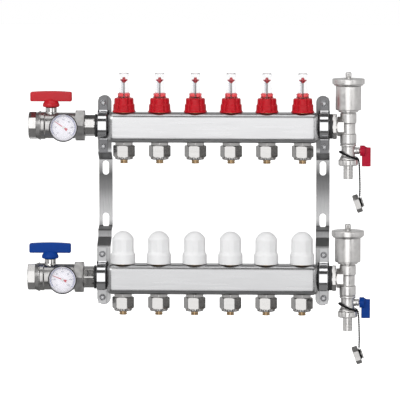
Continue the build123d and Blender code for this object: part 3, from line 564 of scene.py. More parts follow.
def finish_recipes(settings):
    """Maker and values of each finish, with the colours of the settings. Each grain is the noise
    scale for X, Y and Z, which is small along the tool marks."""
    red, blue, white = tuple(settings.red), tuple(settings.blue), tuple(settings.white)
    steel, nickel = tuple(settings.steel), tuple(settings.nickel)
    plating = (0.50, 0.50, 0.51)
    brushed = dict(roughness=settings.brushed_roughness, grain=(30, 2600, 2600), strength=0.35,
                   height=0.00003, mottle=0.05)
    along_marks = dict(grain=(2400, 60, 60), strength=0.3)
    upright_marks = dict(grain=(60, 60, 2400), strength=0.3)
    blasted = dict(grain=(1100, 1100, 1100), strength=0.7, height=0.00008, mottle=0.14)
    cast = dict(grain=(420, 1400, 1400), strength=0.5, height=0.00006, mottle=0.12)
    satin = dict(grain=(900, 900, 900), strength=0.45, height=0.00005, mottle=0.1)
    grip = dict(pores=1100, strength=0.3)
    printed = dict(roughness=0.5, strength=0.03)
    return {
        # Painted light: one steel, painted lighter on the upper, supply rail and darker on the lower, return rail
        "supply_brushed": (metal, dict(colour=shade(steel, 1.1), **brushed)),
        "return_brushed": (metal, dict(colour=shade(steel, 0.94), **brushed)),
        # Bracket: its colour holds painted reflection and shade in bands along its height
        "bracket_steel": (steel_with_painted_bands, dict(stops=BRACKET_PAINTED_TONES)),
        "screw_zinc": (metal, dict(colour=(0.36, 0.36, 0.37), roughness=0.2, grain=(700, 700, 700),
                                   strength=0.12)),
        # The feet's colours hold painted shade, darker on the supply clamp than on the return clamp
        "supply_clamp": (plated, dict(hump=plating, foot=(0.15, 0.15, 0.155))),
        "return_clamp": (plated, dict(hump=plating, foot=(0.36, 0.36, 0.365))),
        "nickel_upright": (metal, dict(colour=shade(nickel, 0.88), roughness=0.17, **upright_marks)),
        "nickel_along": (metal, dict(colour=nickel, roughness=0.22, **along_marks)),
        "nickel_blasted": (metal, dict(colour=nickel, roughness=0.42, **blasted)),
        "nickel_cast": (metal, dict(colour=shade(nickel, 0.8), roughness=0.30, **cast)),
        "nickel_satin": (metal, dict(colour=shade(nickel, 1.45), roughness=0.36, **satin)),
        "bare_brass": (metal, dict(colour=(0.38, 0.265, 0.15), roughness=0.24, **upright_marks)),
        "polished_nickel": (metal, dict(colour=shade(nickel, 1.15), roughness=0.12, grain=(60, 60, 1800),
                                        strength=0.15)),
        "rod_steel": (metal, dict(colour=(0.32, 0.32, 0.33), roughness=0.35, grain=(900, 900, 900),
                                  strength=0.1)),
        "black_rubber": (plastic, dict(colour=(0.020, 0.020, 0.021), roughness=0.62, pores=1200,
                                       strength=0.35, mottle=0.25)),
        "soft_black": (plastic, dict(colour=(0.007, 0.007, 0.008), roughness=0.5, strength=0.2,
                                     mottle=0.2, Specular_IOR_Level=0.1)),
        "red_plastic": (plastic, dict(colour=shade(red, 1.05), roughness=0.24, Specular_IOR_Level=0.18)),
        "red_collar": (clear, dict(colour=(0.96, 0.26, 0.28), roughness=0.12, wear=0.1)),
        "red_pointer": (plastic, dict(colour=(0.42, 0.02, 0.03), roughness=0.35)),
        "white_plastic": (plastic, dict(colour=white, roughness=0.42, pores=700, strength=0.1,
                                        mottle=0.015)),
        "red_handle": (plastic, dict(colour=shade(red, 1.05), roughness=0.34, Specular_IOR_Level=0.3, **grip)),
        "blue_handle": (plastic, dict(colour=blue, roughness=0.34, Specular_IOR_Level=0.1, **grip)),
        "red_lever": (plastic, dict(colour=(0.40, 0.003, 0.026), roughness=0.30, Specular_IOR_Level=0.15,
                                    **grip)),
        "blue_lever": (plastic, dict(colour=shade(blue, 0.9), roughness=0.30, Specular_IOR_Level=0.08,
                                     **grip)),
        "clear_plastic": (clear, dict(colour=(0.985, 0.985, 0.99), roughness=0.03, wear=0.04, bending=1.3)),
        "thin_lens": (plastic, dict(colour=(0.95, 0.95, 0.97), roughness=0.06, pores=300, strength=0.02,
                                    mottle=0.01, Alpha=0.08)),
        "dial_face": (plastic, dict(colour=(0.94, 0.925, 0.99), mottle=0.01, **printed)),
        "dial_print": (plastic, dict(colour=(0.10, 0.11, 0.20), **printed)),
        "dial_arc": (plastic, dict(colour=(0.38, 0.40, 0.70), **printed)),
        "case_black": (plastic, dict(colour=(0.022, 0.022, 0.026), roughness=0.28, strength=0.1)),
        "needle_red": (plastic, dict(colour=(0.60, 0.04, 0.07), roughness=0.4, strength=0.05)),
    }


class Finishes(dict):
    """Materials by the name of their finish; each is made when it is first asked for."""

    def __missing__(self, name):
        maker, values = finish_recipes(bpy.context.scene.manifold_finish)[name]
        self[name] = maker(name, **values)
        return self[name]


FINISH = Finishes()


# Pieces


def piece(name, surface, finish, body, nodes=(), crease=38.0):
    """Object from a surface in millimetres: closed, facing outwards, smooth but for its creases."""
    vertices, faces = surface
    three = faces[:, 2] == faces[:, 3]
    mesh = bpy.data.meshes.new(name)
    mesh.from_pydata((vertices * MM).tolist(), [], faces[~three].tolist() + faces[three][:, :3].tolist())
    mesh.update()
    made = bpy.data.objects.new(name, mesh)
    bpy.context.scene.collection.objects.link(made)
    face_outwards(mesh)
    mesh.shade_smooth()
    mesh.set_sharp_from_angle(angle=math.radians(crease))
    mesh.materials.append(FINISH[finish])
    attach(made, body)
    if nodes:
        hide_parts(*nodes)
    return made


def face_outwards(mesh):
    """Turn every face of the mesh outwards."""
    shell = bmesh.new()
    shell.from_mesh(mesh)
    bmesh.ops.recalc_face_normals(shell, faces=shell.faces)
    shell.to_mesh(mesh)
    shell.free()


def finish_node(node, finish):
    """Give a node that keeps its own shape a finish."""
    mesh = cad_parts[node].data
    mesh.materials.clear()
    mesh.materials.append(FINISH[finish])


# Stage, light and camera


def soft_light(name, place, aim, size, watts):
    """Rectangular soft light at a place, turned to its aim; metres and watts."""
    lamp = bpy.data.lights.new(name, "AREA")
    lamp.shape = "RECTANGLE"
    lamp.size, lamp.size_y = size
    lamp.energy = watts
    holder = bpy.data.objects.new(name, lamp)
    holder.location = place
    holder.rotation_euler = (Vector(aim) - Vector(place)).to_track_quat("-Z", "Y").to_euler()
    bpy.context.scene.collection.objects.link(holder)
    return holder


def seen_plainly(tree):
    """One for rays that come from the camera or through glass, and nought for all others."""
    path = new_node(tree, "ShaderNodeLightPath").outputs
    return calculated(tree, "MAXIMUM", path["Is Camera Ray"], path["Is Transmission Ray"])


def make_world(settings):
    """White behind the part for the camera, and for all else a dark room with soft lights in front,
    behind, at the sides, overhead and below. The front light depends on the cosine between a
    direction, stretched by the light's shape, and the middle of that light. Where lights meet, the
    brighter one counts."""
    world = bpy.data.worlds.new("studio")
    bpy.context.scene.world = world
    world.use_nodes = True
    tree = world.node_tree
    tree.nodes.clear()
    place = new_node(tree, "ShaderNodeTexCoord").outputs["Generated"]
    split = new_node(tree, "ShaderNodeSeparateXYZ", {"Vector": place}).outputs
    shaped = new_node(tree, "ShaderNodeVectorMath", {0: place, 1: tuple(settings.front_shape)},
                      operation="MULTIPLY")
    aimed = new_node(tree, "ShaderNodeVectorMath", {0: shaped.outputs["Vector"]}, operation="NORMALIZE")
    towards = Vector(settings.front_light).normalized()
    facing = new_node(tree, "ShaderNodeVectorMath", {0: aimed.outputs["Vector"], 1: towards},
                      operation="DOT_PRODUCT").outputs["Value"]
    sideways = calculated(tree, "ABSOLUTE", split["X"])
    edge, soft_edge = settings.front_edge, 0.05
    level = None
    for source, low, high, level_low, level_high in (
        (facing, edge, edge + soft_edge, 0.0, settings.front_level),
        (split["Y"], 0.6, 0.85, 0.0, BACK_LEVEL),
        (sideways, 0.4, 0.8, 0.0, SIDE_LEVEL),
        (split["Z"], 0.5, 1.0, settings.room_level, settings.overhead_level),
        (split["Z"], -0.6, -0.9, 0.0, BELOW_LEVEL),
    ):
        light = remapped(tree, source, low, high, level_low, level_high, "SMOOTHSTEP")
        level = light if level is None else calculated(tree, "MAXIMUM", level, light)
    room = new_node(tree, "ShaderNodeBackground", {"Color": level})
    white = new_node(tree, "ShaderNodeBackground", {"Color": (1.0, 1.0, 1.0, 1.0)})
    mix = new_node(tree, "ShaderNodeMixShader", {
        "Fac": seen_plainly(tree), 1: room.outputs["Background"], 2: white.outputs["Background"],
    })
    new_node(tree, "ShaderNodeOutputWorld", {"Surface": mix.outputs["Shader"]})


def floor_material():
    """Pale floor. Seen by the camera or through glass it is lifted to white, and keeps the part's
    shadow. Metal looks through it to the world, which has its own light for each direction."""
    material = new_material("pale_floor", (0.90, 0.90, 0.90), 0.8)
    tree = material.node_tree
    lift = calculated(tree, "MULTIPLY", seen_plainly(tree), FLOOR_LIFT)
    glow = new_node(tree, "ShaderNodeEmission", {"Strength": lift})
    pale = tree.nodes["Principled BSDF"].outputs["BSDF"]
    total = new_node(tree, "ShaderNodeAddShader", {0: pale, 1: glow.outputs["Emission"]})
    nothing = new_node(tree, "ShaderNodeBsdfTransparent").outputs["BSDF"]
    mirrored = new_node(tree, "ShaderNodeLightPath").outputs["Is Glossy Ray"]
    mix = new_node(tree, "ShaderNodeMixShader", {"Fac": mirrored, 1: total.outputs["Shader"], 2: nothing})
    tree.links.new(mix.outputs["Shader"], tree.nodes["Material Output"].inputs["Surface"])
    return material


def make_stage(settings):
    """Floor under the part, the world, and three soft lamps in front of it and above."""
    low = CAD_BOX[0][2] - settings.floor_drop
    half = FLOOR_HALF_WIDTH
    mesh = bpy.data.meshes.new("floor")
    mesh.from_pydata([(-half, -half, low), (half, -half, low), (half, half, low), (-half, half, low)],
                     [], [(0, 1, 2, 3)])
    floor = bpy.data.objects.new("floor", mesh)
    bpy.context.scene.collection.objects.link(floor)
    mesh.materials.append(floor_material())
    make_world(settings)
    aim, watts = (0.13, -0.05, 0.0), settings.key_watts
    soft_light("key", place=(-1.1, -1.7, 1.2), aim=aim, size=(1.3, 1.3), watts=watts)
    soft_light("fill", place=(1.5, -1.5, 0.5), aim=aim, size=(0.8, 1.5), watts=watts * FILL_SHARE)
    soft_light("top", place=(0.13, -0.3, 1.8), aim=aim, size=(1.8, 0.8), watts=watts * TOP_SHARE)


def make_camera(settings):
    """Very long lens, in front of the part, a little above its middle and to the right. The focal
    length is the film's width times the distance over the width of the field."""
    lift, turn = math.radians(settings.elevation), math.radians(settings.azimuth)
    aim = Vector((settings.aim_x, settings.aim_y, settings.aim_z))
    camera = bpy.data.cameras.new("camera")
    camera.sensor_width = FILM_WIDTH
    camera.lens = FILM_WIDTH * settings.distance / settings.field
    holder = bpy.data.objects.new("camera", camera)
    away = Vector((math.sin(turn) * math.cos(lift), -math.cos(turn) * math.cos(lift), math.sin(lift)))
    holder.location = aim + settings.distance * away
    holder.rotation_euler = (aim - holder.location).to_track_quat("-Z", "Y").to_euler()
    bpy.context.scene.collection.objects.link(holder)
    bpy.context.scene.camera = holder


# Hanging caps and their straps


STRAP_ROUTE = [(14.0, -44.6), (15.4, -51.0), (15.9, -62.0), (16.3, -75.0), (16.6, -88.0), (16.1, -100.0)]
STRAP_RADIUS = 0.62
BEAD_PITCH = 2.6
BEAD_RADIUS = 1.3
STRAP_RING = {"radius": 13.4, "wire": 1.4, "x": 0.7, "z": -40.3, "tilt": -21.0}
STRAP_LOOP = {"inset": 0.9, "wire": 1.1}
CAP_CENTRE = (13.3, -108.2)
CAP_TILT = 19.0
CAP_RADIUS = 12.85
CAP_LENGTH = 7.8
CAP_THREAD_RADIUS = 10.2
CAP_BUTTON = 4.2
CAP_BUTTON_RADIUS = 7.0


def strap_curve(line):
    """The strap's tail: a NURBS curve through the route, smooth from the ring to the cap."""
    y, z = AXIS[line]
    curve = bpy.data.curves.new(f"{line}_strap_tail", "CURVE")
    curve.dimensions = "3D"
    curve.resolution_u = 12
    spline = curve.splines.new("NURBS")
    spline.points.add(len(STRAP_ROUTE) - 1)
    for point, (x, down) in zip(spline.points, STRAP_ROUTE):
        point.co = ((TEE_X + x) * MM, y * MM, (z + down) * MM, 1.0)
    spline.order_u = 3
    spline.use_endpoint_u = True
    tail = bpy.data.objects.new(f"{line}_strap_tail", curve)
    bpy.context.scene.collection.objects.link(tail)
    return tail


def curve_points(tail):
    """Points along a curve's own line, in millimetres."""
    mesh = bpy.data.meshes.new_from_object(tail)
    points = np.empty(len(mesh.vertices) * 3)
    mesh.vertices.foreach_get("co", points)
    bpy.data.meshes.remove(mesh)
    return points.reshape(-1, 3) / MM


def ring_path(radius, count=72):
    """Circle about Z: (r cos a, r sin a, 0)."""
    angle = np.linspace(0, TAU, count, endpoint=False)
    return np.stack([radius * np.cos(angle), radius * np.sin(angle), 0 * angle], axis=1)


def beads(points, pitch, radius):
    """Small round beads evenly spaced along a line, each a sphere of a few dozen faces."""
    steps = np.linalg.norm(np.diff(points, axis=0), axis=1)
    reach = np.concatenate([[0], np.cumsum(steps)])
    places = np.arange(pitch, reach[-1] - pitch / 2, pitch)
    centres = np.stack([np.interp(places, reach, points[:, axis]) for axis in range(3)], axis=1)
    t = np.linspace(-math.pi / 2, math.pi / 2, 7)
    ball = turned(np.stack([radius * np.cos(t), 1.15 * radius * np.sin(t)], axis=1), around=10)
    return stacked([moved(ball, *centre) for centre in centres])


def at_cap(surface, line):
    """Put a surface built about the hose cap's axis where the cap hangs."""
    surface = turned_about_y(along_x(surface), CAP_TILT)
    return at_axis(moved(surface, CAP_CENTRE[0], 0, CAP_CENTRE[1]), line, TEE_X)


def make_strap(line):
    """Tail, beads and both rings of one retaining strap."""
    node = f"{line}_strap"
    tail = strap_curve(line)
    points = curve_points(tail)
    tail.data.bevel_depth = STRAP_RADIUS * MM
    tail.data.bevel_resolution = 4
    tail.data.use_fill_caps = True
    tail.data.materials.append(FINISH["soft_black"])
    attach(tail, "root")
    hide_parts(node)
    ring = tube(ring_path(STRAP_RING["radius"]), STRAP_RING["wire"], closed=True)
    ring = turned_about_y(ring, STRAP_RING["tilt"])
    ring = at_axis(moved(ring, STRAP_RING["x"], 0, STRAP_RING["z"]), line, TEE_X)
    loop = tube(ring_path(CAP_BUTTON_RADIUS - STRAP_LOOP["inset"]), STRAP_LOOP["wire"], closed=True)
    loop = moved(loop, z=CAP_LENGTH / 2 + STRAP_LOOP["wire"])
    surfaces = {"beads": beads(points, BEAD_PITCH, BEAD_RADIUS), "ring": ring, "loop": at_cap(loop, line)}
    others = [piece(f"{line}_strap_{name}", surface, "soft_black", "root", [node])
              for name, surface in surfaces.items()]
    tuple(points[0] * MM)


def make_hose_cap(line):
    """Hexagon cap with a threaded hollow, a groove for the strap and a button."""
    half, inner, button = CAP_LENGTH / 2, CAP_THREAD_RADIUS, CAP_BUTTON_RADIUS
    groove, hollow_end = 5.0, half - 2.4
    across = 2 * CAP_RADIUS * math.cos(math.radians(30))
    hexagon = nut_profile(across, sides=6, low=-half, high=half, bevel_low=0.9, bevel_high=0.9)
    outline = np.vstack([
        (0, half - 2.0), (inner - 0.8, half - 2.0), (inner, half - 2.6), (inner, -half + 0.5),
        (inner + 0.5, -half), hexagon[1:5], (groove, half), (groove, half + 2.6), (button - 0.4, half + 2.7),
        (button, half + 3.1), (button - 0.5, half + CAP_BUTTON), (0, half + CAP_BUTTON),
    ])
    flats = many_sided(across, sides=6, turn=30)
    thread = threaded(pitch=1.8, depth=0.5, low=-half, high=hollow_end)

    def shape(radius, height, angle):
        hollow = np.where(height < hollow_end, thread(radius, height, angle), radius)
        return np.where(radius <= inner + 0.01, hollow, flats(radius, height, angle))
    surface = turned(outline, shape, around=96, step=0.6)
    piece(f"{line}_hose_cap_shell", at_cap(surface, line), "nickel_blasted", "root", [f"{line}_hose_cap"],
          crease=30)


# Rails


def rail_surface(line):
    """Bar with rounded corners and ends, and a short open neck at each end. Each ring is a rounded
    rectangle moved inwards by R (1 - sin a) at a distance of R (1 - cos a) from the bar's end, R
    being the end round and a running from nought to a quarter turn."""
    bend = np.linspace(0, math.pi / 2, 9)

    def ring(x, inset):
        half_y, half_z = RAIL_DEPTH / 2 - inset, RAIL_HEIGHT / 2 - inset
        radius = max(RAIL_CORNER - inset, 0.4)
        quarters = []
        for quarter, (side_y, side_z) in enumerate([(1, 1), (-1, 1), (-1, -1), (1, -1)]):
            a = bend + quarter * math.pi / 2
            quarters.append(np.stack([
                np.full(len(a), x),
                side_y * (half_y - radius) + radius * np.cos(a),
                side_z * (half_z - radius) + radius * np.sin(a) - NECK_RISE,
            ], axis=1))
        return np.vstack(quarters)

    start, end = LEFT_END + NECK_LENGTH, RIGHT_END - NECK_LENGTH
    near = [(RAIL_END_ROUND * (1 - math.cos(a)), RAIL_END_ROUND * (1 - math.sin(a))) for a in bend]
    runs = [(start + x, inset) for x, inset in near]
    runs += [(x, 0.0) for x in np.linspace(start + RAIL_END_ROUND, end - RAIL_END_ROUND, 40)[1:-1]]
    runs += [(end - x, inset) for x, inset in near[::-1]]
    bar = capped([ring(x, inset) for x, inset in runs])
    inner, foot = 12.5, NECK_LENGTH + 0.4
    neck = soften([
        (inner, 10), (inner, 0.8), (13.2, 0), (NECK_RADIUS - 0.6, 0), (NECK_RADIUS, 0.6),
        (NECK_RADIUS, NECK_LENGTH - 1.2), (NECK_RADIUS + 1.6, foot), (inner, foot),
    ], 0.5)
    left, right = (along_x(turned(profile, around=72, closed=True)) for profile in (neck, neck * (1, -1)))
    return at_axis(stacked([bar, moved(left, LEFT_END), moved(right, RIGHT_END)]), line)


# Flow meters


def knob_surface():
    """Knob with six lobes between six deep grooves, and fine flutes round its lower half."""
    outline = soften([
        (13.0, 0.5), (16.3, 0.5), (16.3, 1.6), (15.3, 3.0), (15.05, 10.6), (14.4, 11.5), (13.8, 11.9),
        (13.55, 18.8), (12.6, 20.0), (9.3, 20.1), (9.3, 19.0), (9.9, 19.0), (9.9, 3.2), (13.0, 3.2),
    ], [0, 0.4, 0.5, 0.8, 0.8, 0.4, 0.4, 0.8, 0.6, 0.2, 0, 0, 0, 0]) + (0, RAIL_TOP)
    lobes = grooved(count=6, depth=2.1, width=1.25, low=RAIL_TOP + 1.8, high=RAIL_TOP + 19.9)
    flutes = grooved(count=48, depth=0.18, width=0.45, low=RAIL_TOP + 3.0, high=RAIL_TOP + 10.6, turn=3.75)
    cut = both(lobes, flutes)
    bore = 10.5

    def shape(radius, height, angle):
        return np.where(radius > bore, cut(radius, height, angle), radius)
    return turned(outline, shape, around=288, closed=True, step=1.4)


def collar_surface():
    """Clear red collar between the knob and the glass."""
    return turned(soften([
        (7.8, 19.6), (9.15, 19.6), (9.25, 21.2), (8.75, 22.0), (8.7, 24.6), (9.2, 25.3), (9.15, 26.3),
        (8.7, 26.7), (7.8, 26.7),
    ], 0.4) + (0, RAIL_TOP), around=64, closed=True)


def glass_surface():
    """Sight glass: a tube with a collar at its foot and a closed, thicker head."""
    outside = soften([
        (5.6, 18.0), (8.4, 18.0), (8.4, 19.3), (7.0, 19.5), (6.9, 50.4), (7.3, 51.2), (7.3, 53.9), (6.4, 55.0),
        (0, 55.0),
    ], 0.5)
    inside = soften([(0, 53.4), (5.0, 53.3), (5.6, 52.4), (5.6, 18.0)], 0.6)
    return turned(np.vstack([outside, inside[:-1]]) + (0, RAIL_TOP), around=64)


def float_surface():
    """Umbrella-shaped pointer: a cone under a small crown."""
    return turned(soften([
        (1.2, 41.3), (1.9, 42.6), (4.1, 44.9), (4.15, 45.9), (2.2, 46.4), (1.6, 47.2), (1.5, 48.8),
        (0.9, 49.3), (0, 49.3),
    ], 0.4) + (0, RAIL_TOP), around=48)


def rod_surface():
    """Thin rod with the flow plate at its foot, which stays in the rail when the float is down."""
    bottom_gap = 0.6
    foot, head = FLOAT_TRAVEL - RAIL_TOP + bottom_gap, RAIL_TOP + 43
    return turned([(0, foot), (5, foot), (5, foot + 1.5), (1, foot + 2.5), (1, head), (0, head)], around=32)


def patch(radius, angle_low, angle_high, low, high, thickness=0.06):
    """Small raised mark on a tube: a piece of a cylinder between two angles and two heights."""
    a = np.radians(np.linspace(angle_low, angle_high, 4))
    rows = []
    for r, z in [(radius, low), (radius + thickness, low), (radius + thickness, high), (radius, high)]:
        rows.append(np.stack([r * np.cos(a), r * np.sin(a), np.full(len(a), z)], axis=1))
    rows = np.array(rows)
    faces = grid_faces(4, 4, rows_close=True, columns_close=False)
    ends = np.array([[0, 4, 8, 12], [3, 15, 11, 7]])
    return rows.reshape(-1, 3), np.vstack([faces, ends])


def scale_surface():
    """Printed scale of a sight glass: a rule with ticks, every second one long."""
    radius, rule, low, high, pitch = 6.93, -107.0, 28.5, 44.5, 1.6
    marks = [patch(radius, rule, rule + 2.5, low, high)]
    for number, height in enumerate(np.arange(low, high + 0.5, pitch)):
        reach = 15 if number % 2 == 0 else 8
        marks.append(patch(radius, rule - reach, rule, height, height + 0.4))
    return moved(stacked(marks), z=RAIL_TOP)


# Manual caps


def cap_surface():
    """White cap: a round skirt, then flats of two widths in turn that fade into the domed top."""
    outline = soften([
        (15.6, 12.0), (15.6, 0.5), (16.8, 0.5), (17.15, 1.0), (17.1, 13.6), (16.7, 16.0), (15.6, 18.6),
        (15.5, 33.5), (14.9, 36.2), (13.2, 38.8), (11.2, 41.3), (9.3, 43.0), (6.9, 44.6), (5.2, 45.4), (0, 45.6),
    ], [0, 0, 0.3, 0.4, 1.2, 1.6, 1.8, 2.0, 1.2, 1.2, 1.2, 1.0, 0.8, 0.6, 0], 5)
    inside = np.array([(0, 43.0), (4.2, 42.8), (11.0, 36.5), (13.3, 32.0), (13.3, 12.5)])
    flats = both(many_sided(29.6, sides=6, turn=7), many_sided(30.4, sides=6, turn=37))
    flats_start, flats_end, fade = 13.6, 37.0, 5.0

    def shape(radius, height, angle):
        share = np.clip((height - flats_start) / fade, 0, 1) * np.clip((flats_end - height) / fade, 0, 1)
        return radius + (flats(radius, height, angle) - radius) * share
    return moved(turned(np.vstack([outline, inside]), shape, around=144, closed=True, step=1.6), z=RAIL_TOP)


# Outlets


def nipple_surface():
    """Nipple below the rail: a hexagon against the rail, and a threaded end."""
    base = -RAIL_TOP
    step, end = base - 4.0, base - 14.3
    hexagon = nut_profile(NIPPLE_ACROSS, sides=6, low=step, high=base + 0.3, bevel_low=0.9, bevel_high=0.0)
    profile = np.vstack([(0, base + 0.3), hexagon[4:0:-1], (10.35, step), (10.35, end), (8.0, end),
                         (8.0, base - 3.0), (0, base - 3.0)])
    flats = many_sided(NIPPLE_ACROSS, sides=6, turn=2)
    thread = threaded(pitch=1.5, depth=0.6, low=end, high=base - 4.2)

    def shape(radius, height, angle):
        on_thread = (radius < 10.4) & (radius > 9) & (height < base - 4.05)
        return np.where(on_thread, thread(radius, height, angle), flats(radius, height, angle))
    return turned(profile, shape, around=96, step=0.8)


def pipe_nut_surface():
    """Pipe nut: a hexagon above a notched ring."""
    base = -RAIL_TOP
    top, lip, shoulder, end = base - 4.3, base - 16.8, base - 20.5, base - 24.0
    hexagon = nut_profile(PIPE_NUT_ACROSS, sides=6, low=shoulder, high=top, bevel_low=1.5, bevel_high=1.5)
    ring = soften([(7.25, end), (11.8, end), (12.8, base - 23.0), (12.8, shoulder)], 0.5)
    profile = np.vstack([(10.6, top), hexagon[4:0:-1], ring[::-1], (7.25, lip), (10.6, lip)])
    flats = many_sided(PIPE_NUT_ACROSS, sides=6, turn=23)
    notches = grooved(count=12, depth=1.4, width=0.8, low=base - 25.0, high=base - 20.4, fade=0.3)

    def shape(radius, height, angle):
        outside, on_ring = radius > 10.7, height < base - 20.45
        on_hexagon = np.where(outside, flats(radius, height, angle), radius)
        return np.where(outside & on_ring, notches(radius, height, angle), on_hexagon)
    return turned(profile, shape, around=192, closed=True, step=1.5)


def pipe_insert_surface():
    """Brass insert that the pipe is pushed over: a stem with a groove, and a wide head."""
    base = -RAIL_TOP
    return turned([
        (3.8, base - 29.5), (5.0, base - 29.5), (5.35, base - 29.0), (5.35, base - 27.6), (4.8, base - 27.3),
        (4.8, base - 26.6), (5.35, base - 26.3), (5.35, base - 17.0), (9.8, base - 16.8), (9.8, base - 14.4),
        (3.8, base - 14.4),
    ], around=64, closed=True)


# Clamps and brackets


def clamp_band(width, thickness, radius, reach, foot, bow):
    """Bent strap about X. Its path is a foot, a leg, a half circle and back again; a rectangle
    with rounded edges is carried along the path."""
    leg = radius + thickness / 2
    flat = foot - thickness / 2
    path = soften([(flat, reach), (flat, leg), (0, leg)], [0, bow, 0], 6)
    a = np.linspace(math.pi / 2, 3 * math.pi / 2, 33)[1:-1]
    arc = np.stack([leg * np.cos(a), leg * np.sin(a)], axis=1)
    path = np.vstack([path, arc, (path * (1, -1))[::-1]])
    along = np.gradient(path, axis=0)
    along /= np.linalg.norm(along, axis=1, keepdims=True)
    normal = np.stack([-along[:, 1], along[:, 0]], axis=1)
    half_w, half_t, edge = width / 2, thickness / 2, 0.35
    section = np.array([
        (-half_w + edge, -half_t), (half_w - edge, -half_t), (half_w, -half_t + edge), (half_w, half_t - edge),
        (half_w - edge, half_t), (-half_w + edge, half_t), (-half_w, half_t - edge), (-half_w, -half_t + edge),
    ])
    yz = path[:, None] + normal[:, None] * section[None, :, 1:2]
    rows = np.concatenate([np.broadcast_to(section[None, :, 0:1], (len(path), 8, 1)), yz], axis=2)
    return capped(rows)


def screw_surface():
    """Screw with a washer face, facing the front: a groove divides the washer from the head, and
    the head's crown is lowered in the cross."""
    outline = soften([(0, 0), (4.6, 0), (4.6, 1.5), (4.1, 2.0), (3.6, 1.7), (3.3, 0.9), (3.0, 0.9), (2.9, 2.9),
                      (2.3, 3.5), (0, 3.6)], [0, 0.2, 0.4, 0.4, 0.3, 0.1, 0.1, 0.5, 0.6, 0], 4)
    surface = turned(spaced(outline, 0.3), around=64)
    half_width, reach, sink, washer = 0.7, 2.1, 1.6, 1.0
    x, y, z = surface[0].T
    arm = np.maximum(np.clip(1 - np.abs(x) / half_width, 0, 1) * (np.abs(y) < reach),
                     np.clip(1 - np.abs(y) / half_width, 0, 1) * (np.abs(x) < reach))
    sunk = np.where(z > washer, np.clip(arm * 3, 0, 1) * sink, 0)
    return to_front((np.stack([x, y, z - sunk], axis=1), surface[1]))


# Ball valves and unions on the left


def valve_surfaces(line):
    """Octagon end, flared ring, band, barrel, boss and bonnet of a ball valve, from the neck's end."""
    far, socket, ring, band, thread, end = -95.1, -84.7, -78.3, -71.9, -31.0, -21.0
    octagon = soften([
        (15.1, 14), (15.1, 1.0), (16.0, 0), (17.5, 0), (19.5, 1.3), (19.5, 10.4), (15.1, 10.4),
    ], [0, 0.3, 0.3, 0.3, 0.4, 0.2, 0]) + (0, far)
    inside_thread = threaded(pitch=2.3, depth=0.9, low=far, high=far + 15)
    flats = many_sided(VALVE_END_ACROSS, sides=8, turn=OCTAGON_TURN[line])

    def end_shape(radius, height, angle):
        tooth = inside_thread(radius, height, angle)
        return np.where(radius < 15.2, tooth, flats(radius, height, angle))
    end_piece = turned(octagon, end_shape, around=144, closed=True, step=0.6)
    body = soften([
        (10.0, far + 14), (17.6, socket), (18.1, socket), (20.3, ring - 1.0), (20.35, ring - 0.2),
        (19.4, ring + 0.1), (19.2, ring + 0.8), (19.3, band - 1.2), (18.7, band - 0.4), (18.2, band + 0.3),
        (18.15, thread), (17.4, thread), (17.4, end), (10.0, end),
    ], [0, 0, 0.4, 0.7, 0.4, 0.3, 0.3, 0.7, 0.5, 0.4, 0.5, 0, 0, 0], 5)
    tooth = threaded(pitch=1.5, depth=0.5, low=thread + 0.3, high=end)

    def body_shape(radius, height, angle):
        return np.where((radius > 17) & (height > thread + 0.2), tooth(radius, height, angle), radius)
    barrel = turned(body, body_shape, around=96, closed=True, step=1.2)
    bonnet = soften([(4.1, 12), (8.6, 12), (8.6, 17.9), (8.0, 18.9), (8.0, 24.9), (7.4, 25.6), (4.1, 25.6)],
                    [0, 0, 0.4, 0.4, 0.5, 0.5, 0])
    bonnet = moved(turned(bonnet, around=64, closed=True), STEM_X)
    boss = soften([(4.6, 12), (9.0, 12), (9.0, 18.6), (8.0, 19.6), (8.0, 24.2), (7.4, 25.0), (4.6, 25.0)], 0.5)
    boss = moved(to_front(turned(boss, around=48, closed=True)), GAUGE_X)
    end_piece, barrel = [moved(along_x(surface), LEFT_END) for surface in (end_piece, barrel)]
    return [at_axis(surface, line) for surface in (end_piece, stacked([barrel, boss]), bonnet)]


def union_surfaces(line):
    """Union nut and tailpiece about X, from the neck's end face at zero. Each union was tightened
    to its own angle."""
    far, near = -29.5, -17.1
    nut = nut_profile(UNION_ACROSS, sides=6, low=far, high=near, bevel_low=3.0, bevel_high=1.8, inner=13.0)
    profile = np.vstack([(17.55, far), nut[1:5], (13.0, near), (13.0, near - 2.1), (17.55, near - 2.1)])
    nut_flats = many_sided(UNION_ACROSS, sides=6, turn=UNION_TURN)

    def nut_shape(radius, height, angle):
        return np.where(radius > 17.6, nut_flats(radius, height, angle), radius)
    nut = turned(profile, nut_shape, around=144, closed=True, step=2.0)
    start, end, flange = -16.8, -2.3, -19.4
    octagon = nut_profile(TAILPIECE_ACROSS, sides=8, low=start, high=end, bevel_low=1.0, bevel_high=1.0,
                          inner=12.2)
    tail = np.vstack([(10.0, -21.0), (16.5, -21.0), (16.5, flange), (12.6, flange), (12.6, start), octagon[1:5],
                      (12.4, end), (12.4, 9.0), (10.0, 9.0)])
    tail_flats = many_sided(TAILPIECE_ACROSS, sides=8, turn=TAIL_TURN[line])

    def tail_shape(radius, height, angle):
        return np.where((radius > 12.7) & (height > -17), tail_flats(radius, height, angle), radius)
    tail = turned(tail, tail_shape, around=144, closed=True, step=2.0)
    return [at_axis(moved(along_x(surface), LEFT_END), line) for surface in (nut, tail)]


def seal_surface(inner, outer, low, high):
    """Flat rubber ring with a round outer edge."""
    outline = soften([(inner, low), (outer, low), (outer, high), (inner, high)], [0, 0.9, 0.9, 0], 6)
    return along_x(turned(outline, around=72, closed=True))


def superellipse(half_y, half_z, power, count=48):
    """Closed section |y / a|^n + |z / b|^n = 1."""
    t = np.linspace(0, TAU, count, endpoint=False)
    c, s = np.cos(t), np.sin(t)
    return np.stack([half_y * np.sign(c) * np.abs(c) ** (2 / power),
                     half_z * np.sign(s) * np.abs(s) ** (2 / power)], axis=1)


